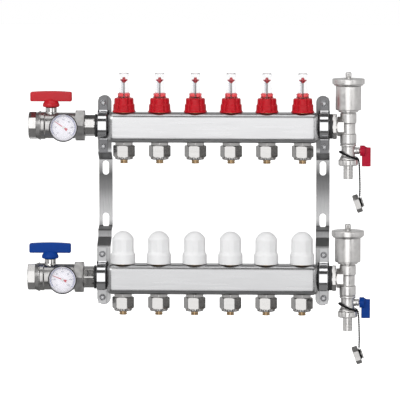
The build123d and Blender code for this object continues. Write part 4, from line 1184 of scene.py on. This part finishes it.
def handle_surface():
    """T-handle: a straight bar along X with a slightly crowned top, and a domed hub under it. The
    bar's section is a superellipse, moved inwards by edge (1 - sin t) near the bar's ends."""
    half, low, high, crown, edge = 29.2, 33.8, 48.3, 1.3, 2.0
    t = np.linspace(0, math.pi / 2, 5)
    inset = np.concatenate([edge * (1 - np.sin(t)), np.zeros(21), edge * (1 - np.sin(t[::-1]))])
    x = np.concatenate([-half + edge * (1 - np.cos(t)), np.linspace(-half + 2 * edge, half - 2 * edge, 21),
                        half - edge * (1 - np.cos(t[::-1]))])
    half_depth = 5.0
    rows = []
    for place, pull in zip(x, inset):
        top = high - crown * (place / half) ** 2
        yz = superellipse(half_depth - pull, (top - low) / 2 - pull, power=9, count=64)
        rows.append(np.stack([np.full(len(yz), place), yz[:, 0], yz[:, 1] + (top + low) / 2], axis=1))
    hub = turned(soften([
        (4.2, 26.0), (10.6, 26.0), (11.7, 26.9), (11.9, 29.0), (10.9, 31.9), (8.0, 35.4), (4.0, 37.4), (0, 38.0),
        (0, 33.5), (4.2, 33.5),
    ], [0, 0.5, 1.0, 1.4, 1.8, 2.2, 1.5, 0, 0, 0], 5), around=96, closed=True)
    return stacked([capped(rows), hub])


def gauge_place(surface, line):
    """Put a surface built about the gauge's axis, its zero at the dial, in front of the valve."""
    return at_axis(moved(to_front(surface), GAUGE_X, -GAUGE_FRONT), line)


def gauge_surfaces():
    """Case with its rolled rim, lens and dial."""
    case = soften([
        (4.5, -6.0), (17.6, -6.0), (19.0, -4.6), (19.1, 2.9), (20.0, 3.5), (20.0, 5.3), (19.4, 6.0), (18.7, 6.0),
        (18.5, 5.2), (18.7, 4.8), (18.7, 0.0), (4.5, 0.0),
    ], [0, 0.8, 0.8, 0.3, 0.4, 0.5, 0.5, 0.3, 0.1, 0.1, 0, 0])
    stem = [(0, -22.0), (4.5, -22.0), (4.5, -5.5), (0, -5.5)]
    case = stacked([turned(case, around=96, closed=True), turned(stem, around=32)])
    lens = turned(soften([(0, 3.7), (18.6, 3.7), (18.6, 4.7), (0, 5.2)], 0.2), around=72)
    dial = turned(soften([(0, 0.0), (18.6, 0.0), (18.6, 0.6), (0, 0.6)], 0.1), around=72)
    return case, lens, dial


def dial_mark(inner, outer, low, high, height=PRINT_TOP):
    """Printed sector: a thin raised piece of a ring between two radii and two angles."""
    a = np.radians(np.linspace(low, high, max(3, int(abs(high - low) / 4) + 2)))
    rows = []
    for r, z in [(inner, 0.55), (outer, 0.55), (outer, height), (inner, height)]:
        rows.append(np.stack([r * np.cos(a), r * np.sin(a), np.full(len(a), z)], axis=1))
    rows = np.array(rows)
    columns = len(a)
    faces = grid_faces(4, columns, rows_close=True, columns_close=False)
    first = np.arange(4) * columns
    ends = np.array([first, (first + columns - 1)[::-1]])
    return rows.reshape(-1, 3), np.vstack([faces, ends])


def dial_ticks():
    """Ticks of the scale over three quarters of a turn, every fifth one long, and its ring."""
    outer, half_width = 15.8, 0.55
    marks = []
    for angle in np.linspace(DIAL_START, DIAL_END, DIAL_TICKS):
        inner = 13.2 if len(marks) % 5 == 0 else 14.6
        marks.append(dial_mark(inner, outer, angle - half_width, angle + half_width))
    marks.append(dial_mark(outer, 16.05, DIAL_END, DIAL_START))
    return stacked(marks)


def make_dial_numbers(line):
    """Plain numbers round the dial, from 0 to 120, as thin meshes facing the front."""
    radius, size, thickness = 11.0, 3.0, 0.03
    for step, angle in enumerate(np.radians(np.linspace(DIAL_START, DIAL_END, DIAL_NUMBERS))):
        name = f"{line}_dial_number_{step}"
        words = bpy.data.curves.new(name, "FONT")
        words.body = str(20 * step)
        words.size = size * MM
        words.align_x, words.align_y = "CENTER", "CENTER"
        words.extrude = thickness * MM
        holder = bpy.data.objects.new(name, words)
        mesh = bpy.data.meshes.new_from_object(holder)
        bpy.data.objects.remove(holder)
        points = np.empty(len(mesh.vertices) * 3)
        mesh.vertices.foreach_get("co", points)
        points = points.reshape(-1, 3) / MM + (radius * math.cos(angle), radius * math.sin(angle), PRINT_TOP)
        mesh.vertices.foreach_set("co", (gauge_place((points, None), line)[0] * MM).ravel())
        mesh.update()
        mesh.materials.clear()
        mesh.materials.append(FINISH["dial_print"])
        made = bpy.data.objects.new(name, mesh)
        bpy.context.scene.collection.objects.link(made)
        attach(made, "root")
        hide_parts("gauge_dials")


def needle_surface(angle):
    """Needle: a slender blade, a broad tail and a hub, turned to its reading."""
    blade = plate(np.array([(-6.6, -1.7), (-5.2, -1.9), (-1.5, -0.7), (15.0, -0.22), (15.0, 0.22), (-1.5, 0.7),
                            (-5.2, 1.9), (-6.6, 1.7), (-5.6, 0.0)]), 0.5, 0.1, 2)
    x, y, z = blade[0].T
    blade = (np.stack([x, z, y + 1.35], axis=1), blade[1])
    hub = turned(soften([(0, 1.0), (2.0, 1.0), (2.0, 2.0), (1.4, 2.4), (0, 2.4)], 0.3), around=32)
    c, s = math.cos(math.radians(angle)), math.sin(math.radians(angle))
    x, y, z = blade[0].T
    return (np.stack([c * x - s * y, s * x + c * y, z], axis=1), blade[1]), hub


# Right-hand fittings


def adapter_surface():
    """Octagon adapter, from the neck's end face at zero."""
    near, far, bore = 3.9, 9.8, 9.0
    octagon = nut_profile(ADAPTER_ACROSS, sides=8, low=near, high=far, bevel_low=1.5, bevel_high=1.5, inner=bore)
    profile = np.vstack([(5.0, -10), (12.4, -10), (12.4, near), octagon[1:5], (bore, far), (bore, 15.0),
                         (5.0, 15.0)])
    flats = many_sided(ADAPTER_ACROSS, sides=8)

    def shape(radius, height, angle):
        return np.where((height > 3.8) & (radius > 12.6), flats(radius, height, angle), radius)
    return moved(along_x(turned(profile, shape, around=128, closed=True, step=2.0)), RIGHT_END)


def tee_surface():
    """Tee: sockets above and below a waist, and the hexagon branch towards the rail."""
    body = soften([
        (9.5, 18.6), (10.9, 18.6), (11.5, 18.0), (11.5, 5.3), (10.0, 4.3), (10.0, -9.7), (11.5, -10.7),
        (11.5, -23.2), (10.9, -23.8), (9.5, -23.8),
    ], 0.45)
    body = turned(body, around=96, closed=True, step=3.0)
    start, end, bore = -15.6, -6.0, 9.0
    branch = nut_profile(TEE_ACROSS, sides=6, low=start, high=end, bevel_low=1.4, bevel_high=0.0, inner=bore)
    profile = np.vstack([(bore, start), branch[1:5], (bore, end)])
    flats = many_sided(TEE_ACROSS, sides=6, turn=30)
    branch = along_x(turned(profile, flats, around=120, closed=True, step=1.5))
    return moved(stacked([body, branch]), TEE_X)


def vent_surfaces():
    """Body, cover and screw cap of the air vent, about the tee's axis."""
    body = soften([
        (9.4, 12.0), (9.4, 18.6), (10.5, 18.7), (10.5, 20.2), (13.4, 20.4), (14.0, 21.0), (14.0, 23.1),
        (17.2, 23.1), (17.9, 23.8), (17.9, 56.6), (17.3, 57.1), (15.4, 57.1), (15.4, 25.0), (9.0, 25.0),
    ], 0.4)
    cover = soften([
        (15.2, 55.5), (15.2, 57.4), (20.6, 57.6), (21.0, 59.2), (22.7, 59.8), (22.7, 66.4), (22.2, 66.9),
        (18.5, 67.0), (6.4, 67.1), (6.0, 66.4), (2.6, 66.4), (2.6, 72.5), (0, 72.5), (0, 55.5),
    ], [0, 0.2, 0.4, 0.4, 0.4, 0.4, 0.3, 0.3, 0.3, 0.2, 0, 0, 0, 0])
    cap = soften([
        (2.75, 66.9), (3.7, 66.9), (3.5, 69.0), (4.3, 69.8), (4.45, 74.6), (3.7, 75.9), (0, 75.9), (0, 73.0),
        (2.75, 73.0),
    ], [0, 0.2, 0.6, 0.4, 0.6, 0.6, 0, 0, 0])
    knurl = grooved(18, 0.35, 0.35, 69.2, 75.2)
    return (moved(turned(body, around=96, closed=True), TEE_X), moved(turned(cover, around=96, closed=True), TEE_X),
            moved(turned(cap, knurl, around=108, closed=True, step=0.8), TEE_X))


def drain_surfaces():
    """Drain valve body, ribbed hose nut and hose tail, about the tee's axis."""
    body = soften([
        (9.4, -16.0), (9.4, -24.2), (10.9, -24.2), (11.3, -24.7), (11.3, -27.2), (10.8, -27.7), (9.5, -27.7),
        (9.5, -40.6), (9.9, -41.4), (11.9, -44.4), (12.0, -46.0), (11.0, -46.0), (11.0, -52.0), (4.5, -52.0),
        (4.5, -41.5), (3.0, -16.0),
    ], 0.4)
    body = turned(body, None, 96, True, 3.0)
    boss = soften([(3.1, 8.0), (5.0, 8.0), (5.0, 11.5), (4.4, 12.5), (4.9, 13.4), (4.9, 15.4), (4.3, 16.0),
                   (3.1, 16.0)], 0.4)
    boss = moved(along_x(turned(boss, around=48, closed=True)), z=-34.0)
    nut = soften([
        (7.85, -54.7), (12.6, -54.7), (13.7, -53.6), (13.7, -47.2), (12.9, -46.3), (11.3, -46.3), (11.3, -53.4),
        (7.85, -53.4),
    ], [0, 0.5, 0.6, 0.5, 0.3, 0, 0, 0])
    nut = turned(nut, grooved(12, 0.9, 0.8, -54.4, -46.6, 15), 192, True, 1.2)
    tail = [(4.5, -52.0), (10.9, -52.0), (10.9, -53.3), (6.6, -53.3), (6.85, -55.5)]
    for start in (-55.5, -60.0, -64.5, -69.0):
        tail += [(6.85, start - 0.3), (6.45, start - 4.3), (6.85, start - 4.5)]
    tail += [(6.85, -73.2), (6.5, -73.7), (4.9, -73.7), (4.5, -73.3)]
    tail = turned(tail, around=72, closed=True)
    return [moved(surface, TEE_X) for surface in (stacked([body, boss]), nut, tail)]


def drain_handle_surface():
    """Lever: a round hub on the stem and a flat paddle with a sloping shoulder, hanging down."""
    stem = -34.0
    hub = soften([(3.05, 16.3), (6.9, 16.3), (7.5, 16.9), (7.5, 22.6), (6.8, 23.4), (3.05, 23.4)], 0.4)
    hub = moved(along_x(turned(hub, around=64, closed=True)), z=stem)
    left, right, low, high, shoulder = 19.0, 31.5, -56.0, -29.2, -26.8
    outline = soften([
        (21.0, shoulder), (left, shoulder), (left, low), (right, low), (right, high), (25.9, high),
        (22.6, shoulder), (21.0, shoulder),
    ], [0, 0.9, 1.3, 1.3, 1.3, 2.0, 1.0, 0], 5)
    paddle = plate(spaced(outline[:-1], 2.0), 4.0, 0.9)
    return moved(stacked([hub, paddle]), TEE_X)


# Settings, operators and panel


class ManifoldFinish(bpy.types.PropertyGroup):
    """Colours and finishes of the manifold."""
    red: bpy.props.FloatVectorProperty(name="Red", description="Colour of the flow knobs",
                                       default=(0.45, 0.006, 0.014), subtype="COLOR", min=0, max=1)
    blue: bpy.props.FloatVectorProperty(name="Blue", description="Colour of the return handles",
                                        default=(0.003, 0.042, 0.25), subtype="COLOR", min=0, max=1)
    white: bpy.props.FloatVectorProperty(name="White", description="Colour of the manual caps",
                                         default=(0.79, 0.79, 0.795), subtype="COLOR", min=0, max=1)
    steel: bpy.props.FloatVectorProperty(name="Steel", description="Colour of the rails",
                                         default=(0.385, 0.385, 0.39), subtype="COLOR", min=0, max=1)
    nickel: bpy.props.FloatVectorProperty(name="Nickel", description="Colour of the fittings",
                                          default=(0.44, 0.432, 0.425), subtype="COLOR", min=0, max=1)
    brushed_roughness: bpy.props.FloatProperty(name="Brushed roughness", default=0.30, min=0.02, max=1,
                                               description="Roughness of the brushed rails", subtype="FACTOR")


class ManifoldStudio(bpy.types.PropertyGroup):
    """Camera and light."""
    distance: bpy.props.FloatProperty(name="Distance", description="Camera distance", default=6.0, unit="LENGTH")
    field: bpy.props.FloatProperty(name="Field", description="Width seen at the part", default=0.559,
                                   unit="LENGTH")
    elevation: bpy.props.FloatProperty(name="Elevation", description="Camera height above level, degrees",
                                       default=6.1)
    azimuth: bpy.props.FloatProperty(name="Azimuth", description="Camera turn to the right, degrees",
                                     default=2.3)
    aim_x: bpy.props.FloatProperty(name="Aim X", description="Where the camera points, along the rails",
                                   default=0.135, unit="LENGTH")
    aim_y: bpy.props.FloatProperty(name="Aim Y", description="Where the camera points, in depth",
                                   default=-0.055, unit="LENGTH")
    aim_z: bpy.props.FloatProperty(name="Aim Z", description="Where the camera points, in height",
                                   default=-0.0027, unit="LENGTH")
    floor_drop: bpy.props.FloatProperty(name="Floor drop", description="Floor below the lowest point",
                                        default=0.06, unit="LENGTH")
    key_watts: bpy.props.FloatProperty(name="Key light", description="Power of the main soft light",
                                       default=18.0, unit="POWER")
    room_level: bpy.props.FloatProperty(name="Room light", description="Level of the dim room at the sides",
                                        default=0.035)
    overhead_level: bpy.props.FloatProperty(name="Overhead light", description="Level of the room overhead",
                                            default=0.13)
    front_edge: bpy.props.FloatProperty(name="Front light's edge", default=0.905,
                                        description="Cosine of the angle at which the front light ends")
    front_shape: bpy.props.FloatVectorProperty(name="Front light's shape", default=(1.0, 1.0, 0.5), min=0.1,
                                               description="Smaller along an axis makes it larger that way")
    front_level: bpy.props.FloatProperty(name="Front light", description="Level of the wide light in front",
                                         default=2.2)
    front_light: bpy.props.FloatVectorProperty(name="Front light's place", subtype="DIRECTION",
                                               description="Direction of the wide light in front",
                                               default=(-0.05, -1.0, 0.04))


class MANIFOLD_OT_stage(bpy.types.Operator):
    """Make the floor, the light and the camera"""
    bl_idname = "manifold.stage"
    bl_label = "Stage and camera"

    def execute(self, context):
        context.scene.view_settings.view_transform = "Standard"
        make_stage(context.scene.manifold_studio)
        make_camera(context.scene.manifold_studio)
        return {"FINISHED"}


class MANIFOLD_OT_hose_caps(bpy.types.Operator):
    """Make the hanging hose caps and the straps that hold them"""
    bl_idname = "manifold.hose_caps"
    bl_label = "Hose caps and straps"

    def execute(self, context):
        for line in LINES:
            make_hose_cap(line)
            make_strap(line)
        return {"FINISHED"}


class MANIFOLD_OT_rails(bpy.types.Operator):
    """Make both brushed rails"""
    bl_idname = "manifold.rails"
    bl_label = "Rails"

    def execute(self, context):
        for line in LINES:
            piece(f"{line}_rail_bar", rail_surface(line), f"{line}_brushed", "root", [f"{line}_rail"])
        return {"FINISHED"}


class MANIFOLD_OT_flow_meters(bpy.types.Operator):
    """Make the flow meters on the supply rail"""
    bl_idname = "manifold.flow_meters"
    bl_label = "Flow meters"

    def execute(self, context):
        for number, x in zip(LOOPS, LOOP_X):
            node = f"flow_knob_{number}"
            piece(f"{node}_grip", at_rail(knob_surface(), "supply", x), "red_plastic", node, [node],
                  crease=50)
            piece(f"{node}_collar", at_rail(collar_surface(), "supply", x), "red_collar", node, [node])
            node = f"flow_float_{number}"
            piece(f"{node}_pointer", at_rail(float_surface(), "supply", x), "red_pointer", node, [node])
            piece(f"{node}_rod", at_rail(rod_surface(), "supply", x), "rod_steel", node, [node])
        piece("sight_glass_tubes", on_loops(glass_surface(), "supply"), "clear_plastic", "root",
              ["sight_glasses"])
        piece("sight_glass_scales", on_loops(scale_surface(), "supply"), "dial_print", "root",
              ["sight_glasses"])
        return {"FINISHED"}


class MANIFOLD_OT_manual_caps(bpy.types.Operator):
    """Make the white caps on the return rail"""
    bl_idname = "manifold.manual_caps"
    bl_label = "Manual caps"

    def execute(self, context):
        for number, x in zip(LOOPS, LOOP_X):
            node = f"return_cap_{number}"
            piece(f"{node}_shell", at_rail(cap_surface(), "return", x), "white_plastic", node, [node],
                  crease=24)
        return {"FINISHED"}


class MANIFOLD_OT_outlets(bpy.types.Operator):
    """Make the nipples, nuts and pipe inserts under both rails"""
    bl_idname = "manifold.outlets"
    bl_label = "Outlets"

    def execute(self, context):
        for name, surface, finish, node, slot in (
            ("outlet_nipple_set", nipple_surface(), "nickel_blasted", "outlet_nipples", "nickel_brass"),
            ("pipe_nut_set", pipe_nut_surface(), "nickel_upright", "pipe_nuts", "nickel_brass"),
            ("pipe_insert_set", pipe_insert_surface(), "bare_brass", "pipe_inserts", "brass"),
        ):
            piece(name, pair(surface, on_loops), finish, "root", [node], crease=30)
        return {"FINISHED"}


class MANIFOLD_OT_clamps(bpy.types.Operator):
    """Make the clamp straps, their screws, and finish the brackets and liners"""
    bl_idname = "manifold.clamps"
    bl_label = "Brackets and clamps"

    def execute(self, context):
        strap = clamp_band(width=12.0, thickness=1.5, radius=17.0, reach=39.0, foot=17.0, bow=2.6)
        screw = screw_surface()
        straps, screws = {line: [] for line in LINES}, []
        for x in (BRACKET_X["left"] - STRAP_OFFSET, BRACKET_X["right"] + STRAP_OFFSET):
            for line in LINES:
                straps[line].append(at_axis(strap, line, x))
                for height in (-SCREW_HEIGHT, SCREW_HEIGHT):
                    screws.append(at_axis(moved(screw, y=SCREW_DEPTH, z=height), line, x))
        for line in LINES:
            piece(f"{line}_clamp_straps", stacked(straps[line]), f"{line}_clamp", "root", ["clamp_straps"],
                  crease=40)
        piece("clamp_screw_set", stacked(screws), "screw_zinc", "root", ["clamp_screws"],
              crease=30)
        finish_node("clamp_liners", "black_rubber")
        finish_node("left_bracket", "bracket_steel")
        finish_node("right_bracket", "bracket_steel")
        return {"FINISHED"}


class MANIFOLD_OT_ball_valves(bpy.types.Operator):
    """Make the ball valve bodies, unions and seals"""
    bl_idname = "manifold.ball_valves"
    bl_label = "Ball valves"

    def execute(self, context):
        ends, barrels, bonnets = zip(*[valve_surfaces(line) for line in LINES])
        nuts, tails = zip(*[union_surfaces(line) for line in LINES])
        for name, surfaces, finish, node, crease in (
            ("ball_valve_ends", ends, "nickel_along", "valve_bodies", 30),
            ("ball_valve_shells", barrels, "nickel_cast", "valve_bodies", 30),
            ("ball_valve_bonnets", bonnets, "polished_nickel", "valve_bodies", 38),
            ("union_nut_set", nuts, "nickel_blasted", "union_nuts", 30),
            ("union_tail_set", tails, "nickel_along", "union_tailpieces", 30),
        ):
            piece(name, stacked(surfaces), finish, "root", [node], crease)
        left = moved(seal_surface(inner=12.5, outer=16.5, low=-2.3, high=0), LEFT_END)
        right = moved(seal_surface(inner=12.5, outer=17.3, low=0, high=3.9), RIGHT_END)
        piece("neck_seals", stacked([pair(left), pair(right)]), "black_rubber", "root", ["seals"])
        for line in LINES:
            finish_node(f"{line}_valve_stem", "nickel_upright")
            finish_node(f"{line}_valve_ball", "polished_nickel")
        finish_node("valve_inserts", "bare_brass")
        return {"FINISHED"}


class MANIFOLD_OT_valve_handles(bpy.types.Operator):
    """Make the T-handles of the ball valves"""
    bl_idname = "manifold.valve_handles"
    bl_label = "T-handles"

    def execute(self, context):
        for line in LINES:
            colour = HANDLE_COLOUR[line]
            node = f"{line}_handle"
            piece(f"{node}_grip", at_axis(handle_surface(), line, STEM_X), f"{colour}_handle", node, [node],
                  crease=40)
        return {"FINISHED"}


class MANIFOLD_OT_thermometers(bpy.types.Operator):
    """Make the dial thermometers"""
    bl_idname = "manifold.thermometers"
    bl_label = "Thermometers"

    def execute(self, context):
        case, lens, dial = gauge_surfaces()
        arcs = stacked([dial_mark(16.3, 17.1, -40, 75), dial_mark(16.3, 17.1, 100, 215)])
        for name, surface, finish, node, slot, crease in (
            ("gauge_case_set", case, "case_black", "gauge_cases", "case_black", 35),
            ("gauge_lens_set", lens, "thin_lens", "gauge_lenses", "clear_plastic", 38),
            ("gauge_dial_plates", dial, "dial_face", "gauge_dials", "dial_white", 38),
            ("gauge_dial_ticks", dial_ticks(), "dial_print", "gauge_dials", "dial_white", 38),
            ("gauge_dial_arcs", arcs, "dial_arc", "gauge_dials", "dial_white", 38),
        ):
            piece(name, pair(surface, gauge_place), finish, "root", [node], crease)
        for line in LINES:
            make_dial_numbers(line)
            node = f"{line}_needle"
            blade, hub = needle_surface(READING_ANGLE[line])
            piece(f"{node}_blade", gauge_place(blade, line), "needle_red", node, [node])
            piece(f"{node}_hub", gauge_place(hub, line), "white_plastic", node, [node])
        return {"FINISHED"}


class MANIFOLD_OT_end_fittings(bpy.types.Operator):
    """Make the adapters, tees, air vents and drain valves"""
    bl_idname = "manifold.end_fittings"
    bl_label = "End fittings"

    def execute(self, context):
        body, cover, cap = vent_surfaces()
        drain, nut, tail = drain_surfaces()
        for name, surface, finish, node, crease in (
            ("end_adapter_set", adapter_surface(), "nickel_along", "end_adapters", 30),
            ("tee_set", tee_surface(), "nickel_satin", "tee_bodies", 30),
            ("vent_body_set", body, "nickel_satin", "vent_bodies", 35),
            ("vent_cover_set", cover, "nickel_satin", "vent_covers", 35),
            ("drain_body_set", drain, "nickel_satin", "valve_bodies", 35),
            ("hose_nut_set", nut, "nickel_satin", "union_nuts", 50),
            ("hose_tail_set", tail, "nickel_satin", "hose_tails", 35),
        ):
            piece(name, pair(surface), finish, "root", [node], crease)
        for line in LINES:
            node = f"{line}_vent_cap"
            piece(f"{node}_knurled", at_axis(cap, line), "polished_nickel", node, [node],
                  crease=50)
            colour = HANDLE_COLOUR[line]
            node = f"{line}_drain_handle"
            piece(f"{node}_lever", at_axis(drain_handle_surface(), line), f"{colour}_lever", node, [node],
                  crease=40)
            finish_node(f"{line}_drain_ball", "nickel_along")
        return {"FINISHED"}


class MANIFOLD_PT_panel(bpy.types.Panel):
    """Lists the manifold's pieces in the sidebar"""
    bl_idname = "MANIFOLD_PT_panel"
    bl_label = "Heating manifold"
    bl_space_type = "VIEW_3D"
    bl_region_type = "UI"
    bl_category = "Manifold"

    def draw(self, context):
        for operator in OPERATORS:
            self.layout.operator(operator.bl_idname)
        for settings in (context.scene.manifold_finish, context.scene.manifold_studio):
            for name in settings.__annotations__:
                self.layout.prop(settings, name)


OPERATORS = (
    MANIFOLD_OT_stage, MANIFOLD_OT_hose_caps, MANIFOLD_OT_rails, MANIFOLD_OT_flow_meters,
    MANIFOLD_OT_manual_caps, MANIFOLD_OT_outlets, MANIFOLD_OT_clamps, MANIFOLD_OT_ball_valves,
    MANIFOLD_OT_valve_handles, MANIFOLD_OT_thermometers, MANIFOLD_OT_end_fittings,
)
CLASSES = (ManifoldFinish, ManifoldStudio, *OPERATORS, MANIFOLD_PT_panel)


def register():
    """Register the classes and hang both groups of settings on the scene."""
    for kind in CLASSES:
        bpy.utils.register_class(kind)
    bpy.types.Scene.manifold_finish = bpy.props.PointerProperty(type=ManifoldFinish)
    bpy.types.Scene.manifold_studio = bpy.props.PointerProperty(type=ManifoldStudio)


def unregister():
    """Take the settings and the classes away again."""
    del bpy.types.Scene.manifold_finish
    del bpy.types.Scene.manifold_studio
    for kind in reversed(CLASSES):
        bpy.utils.unregister_class(kind)


def main():
    """Build the whole manifold with the add-on's own operators."""
    register()
    for operator in OPERATORS:
        group, name = operator.bl_idname.split(".")
        getattr(getattr(bpy.ops, group), name)()


if __name__ == "__main__":
    main()
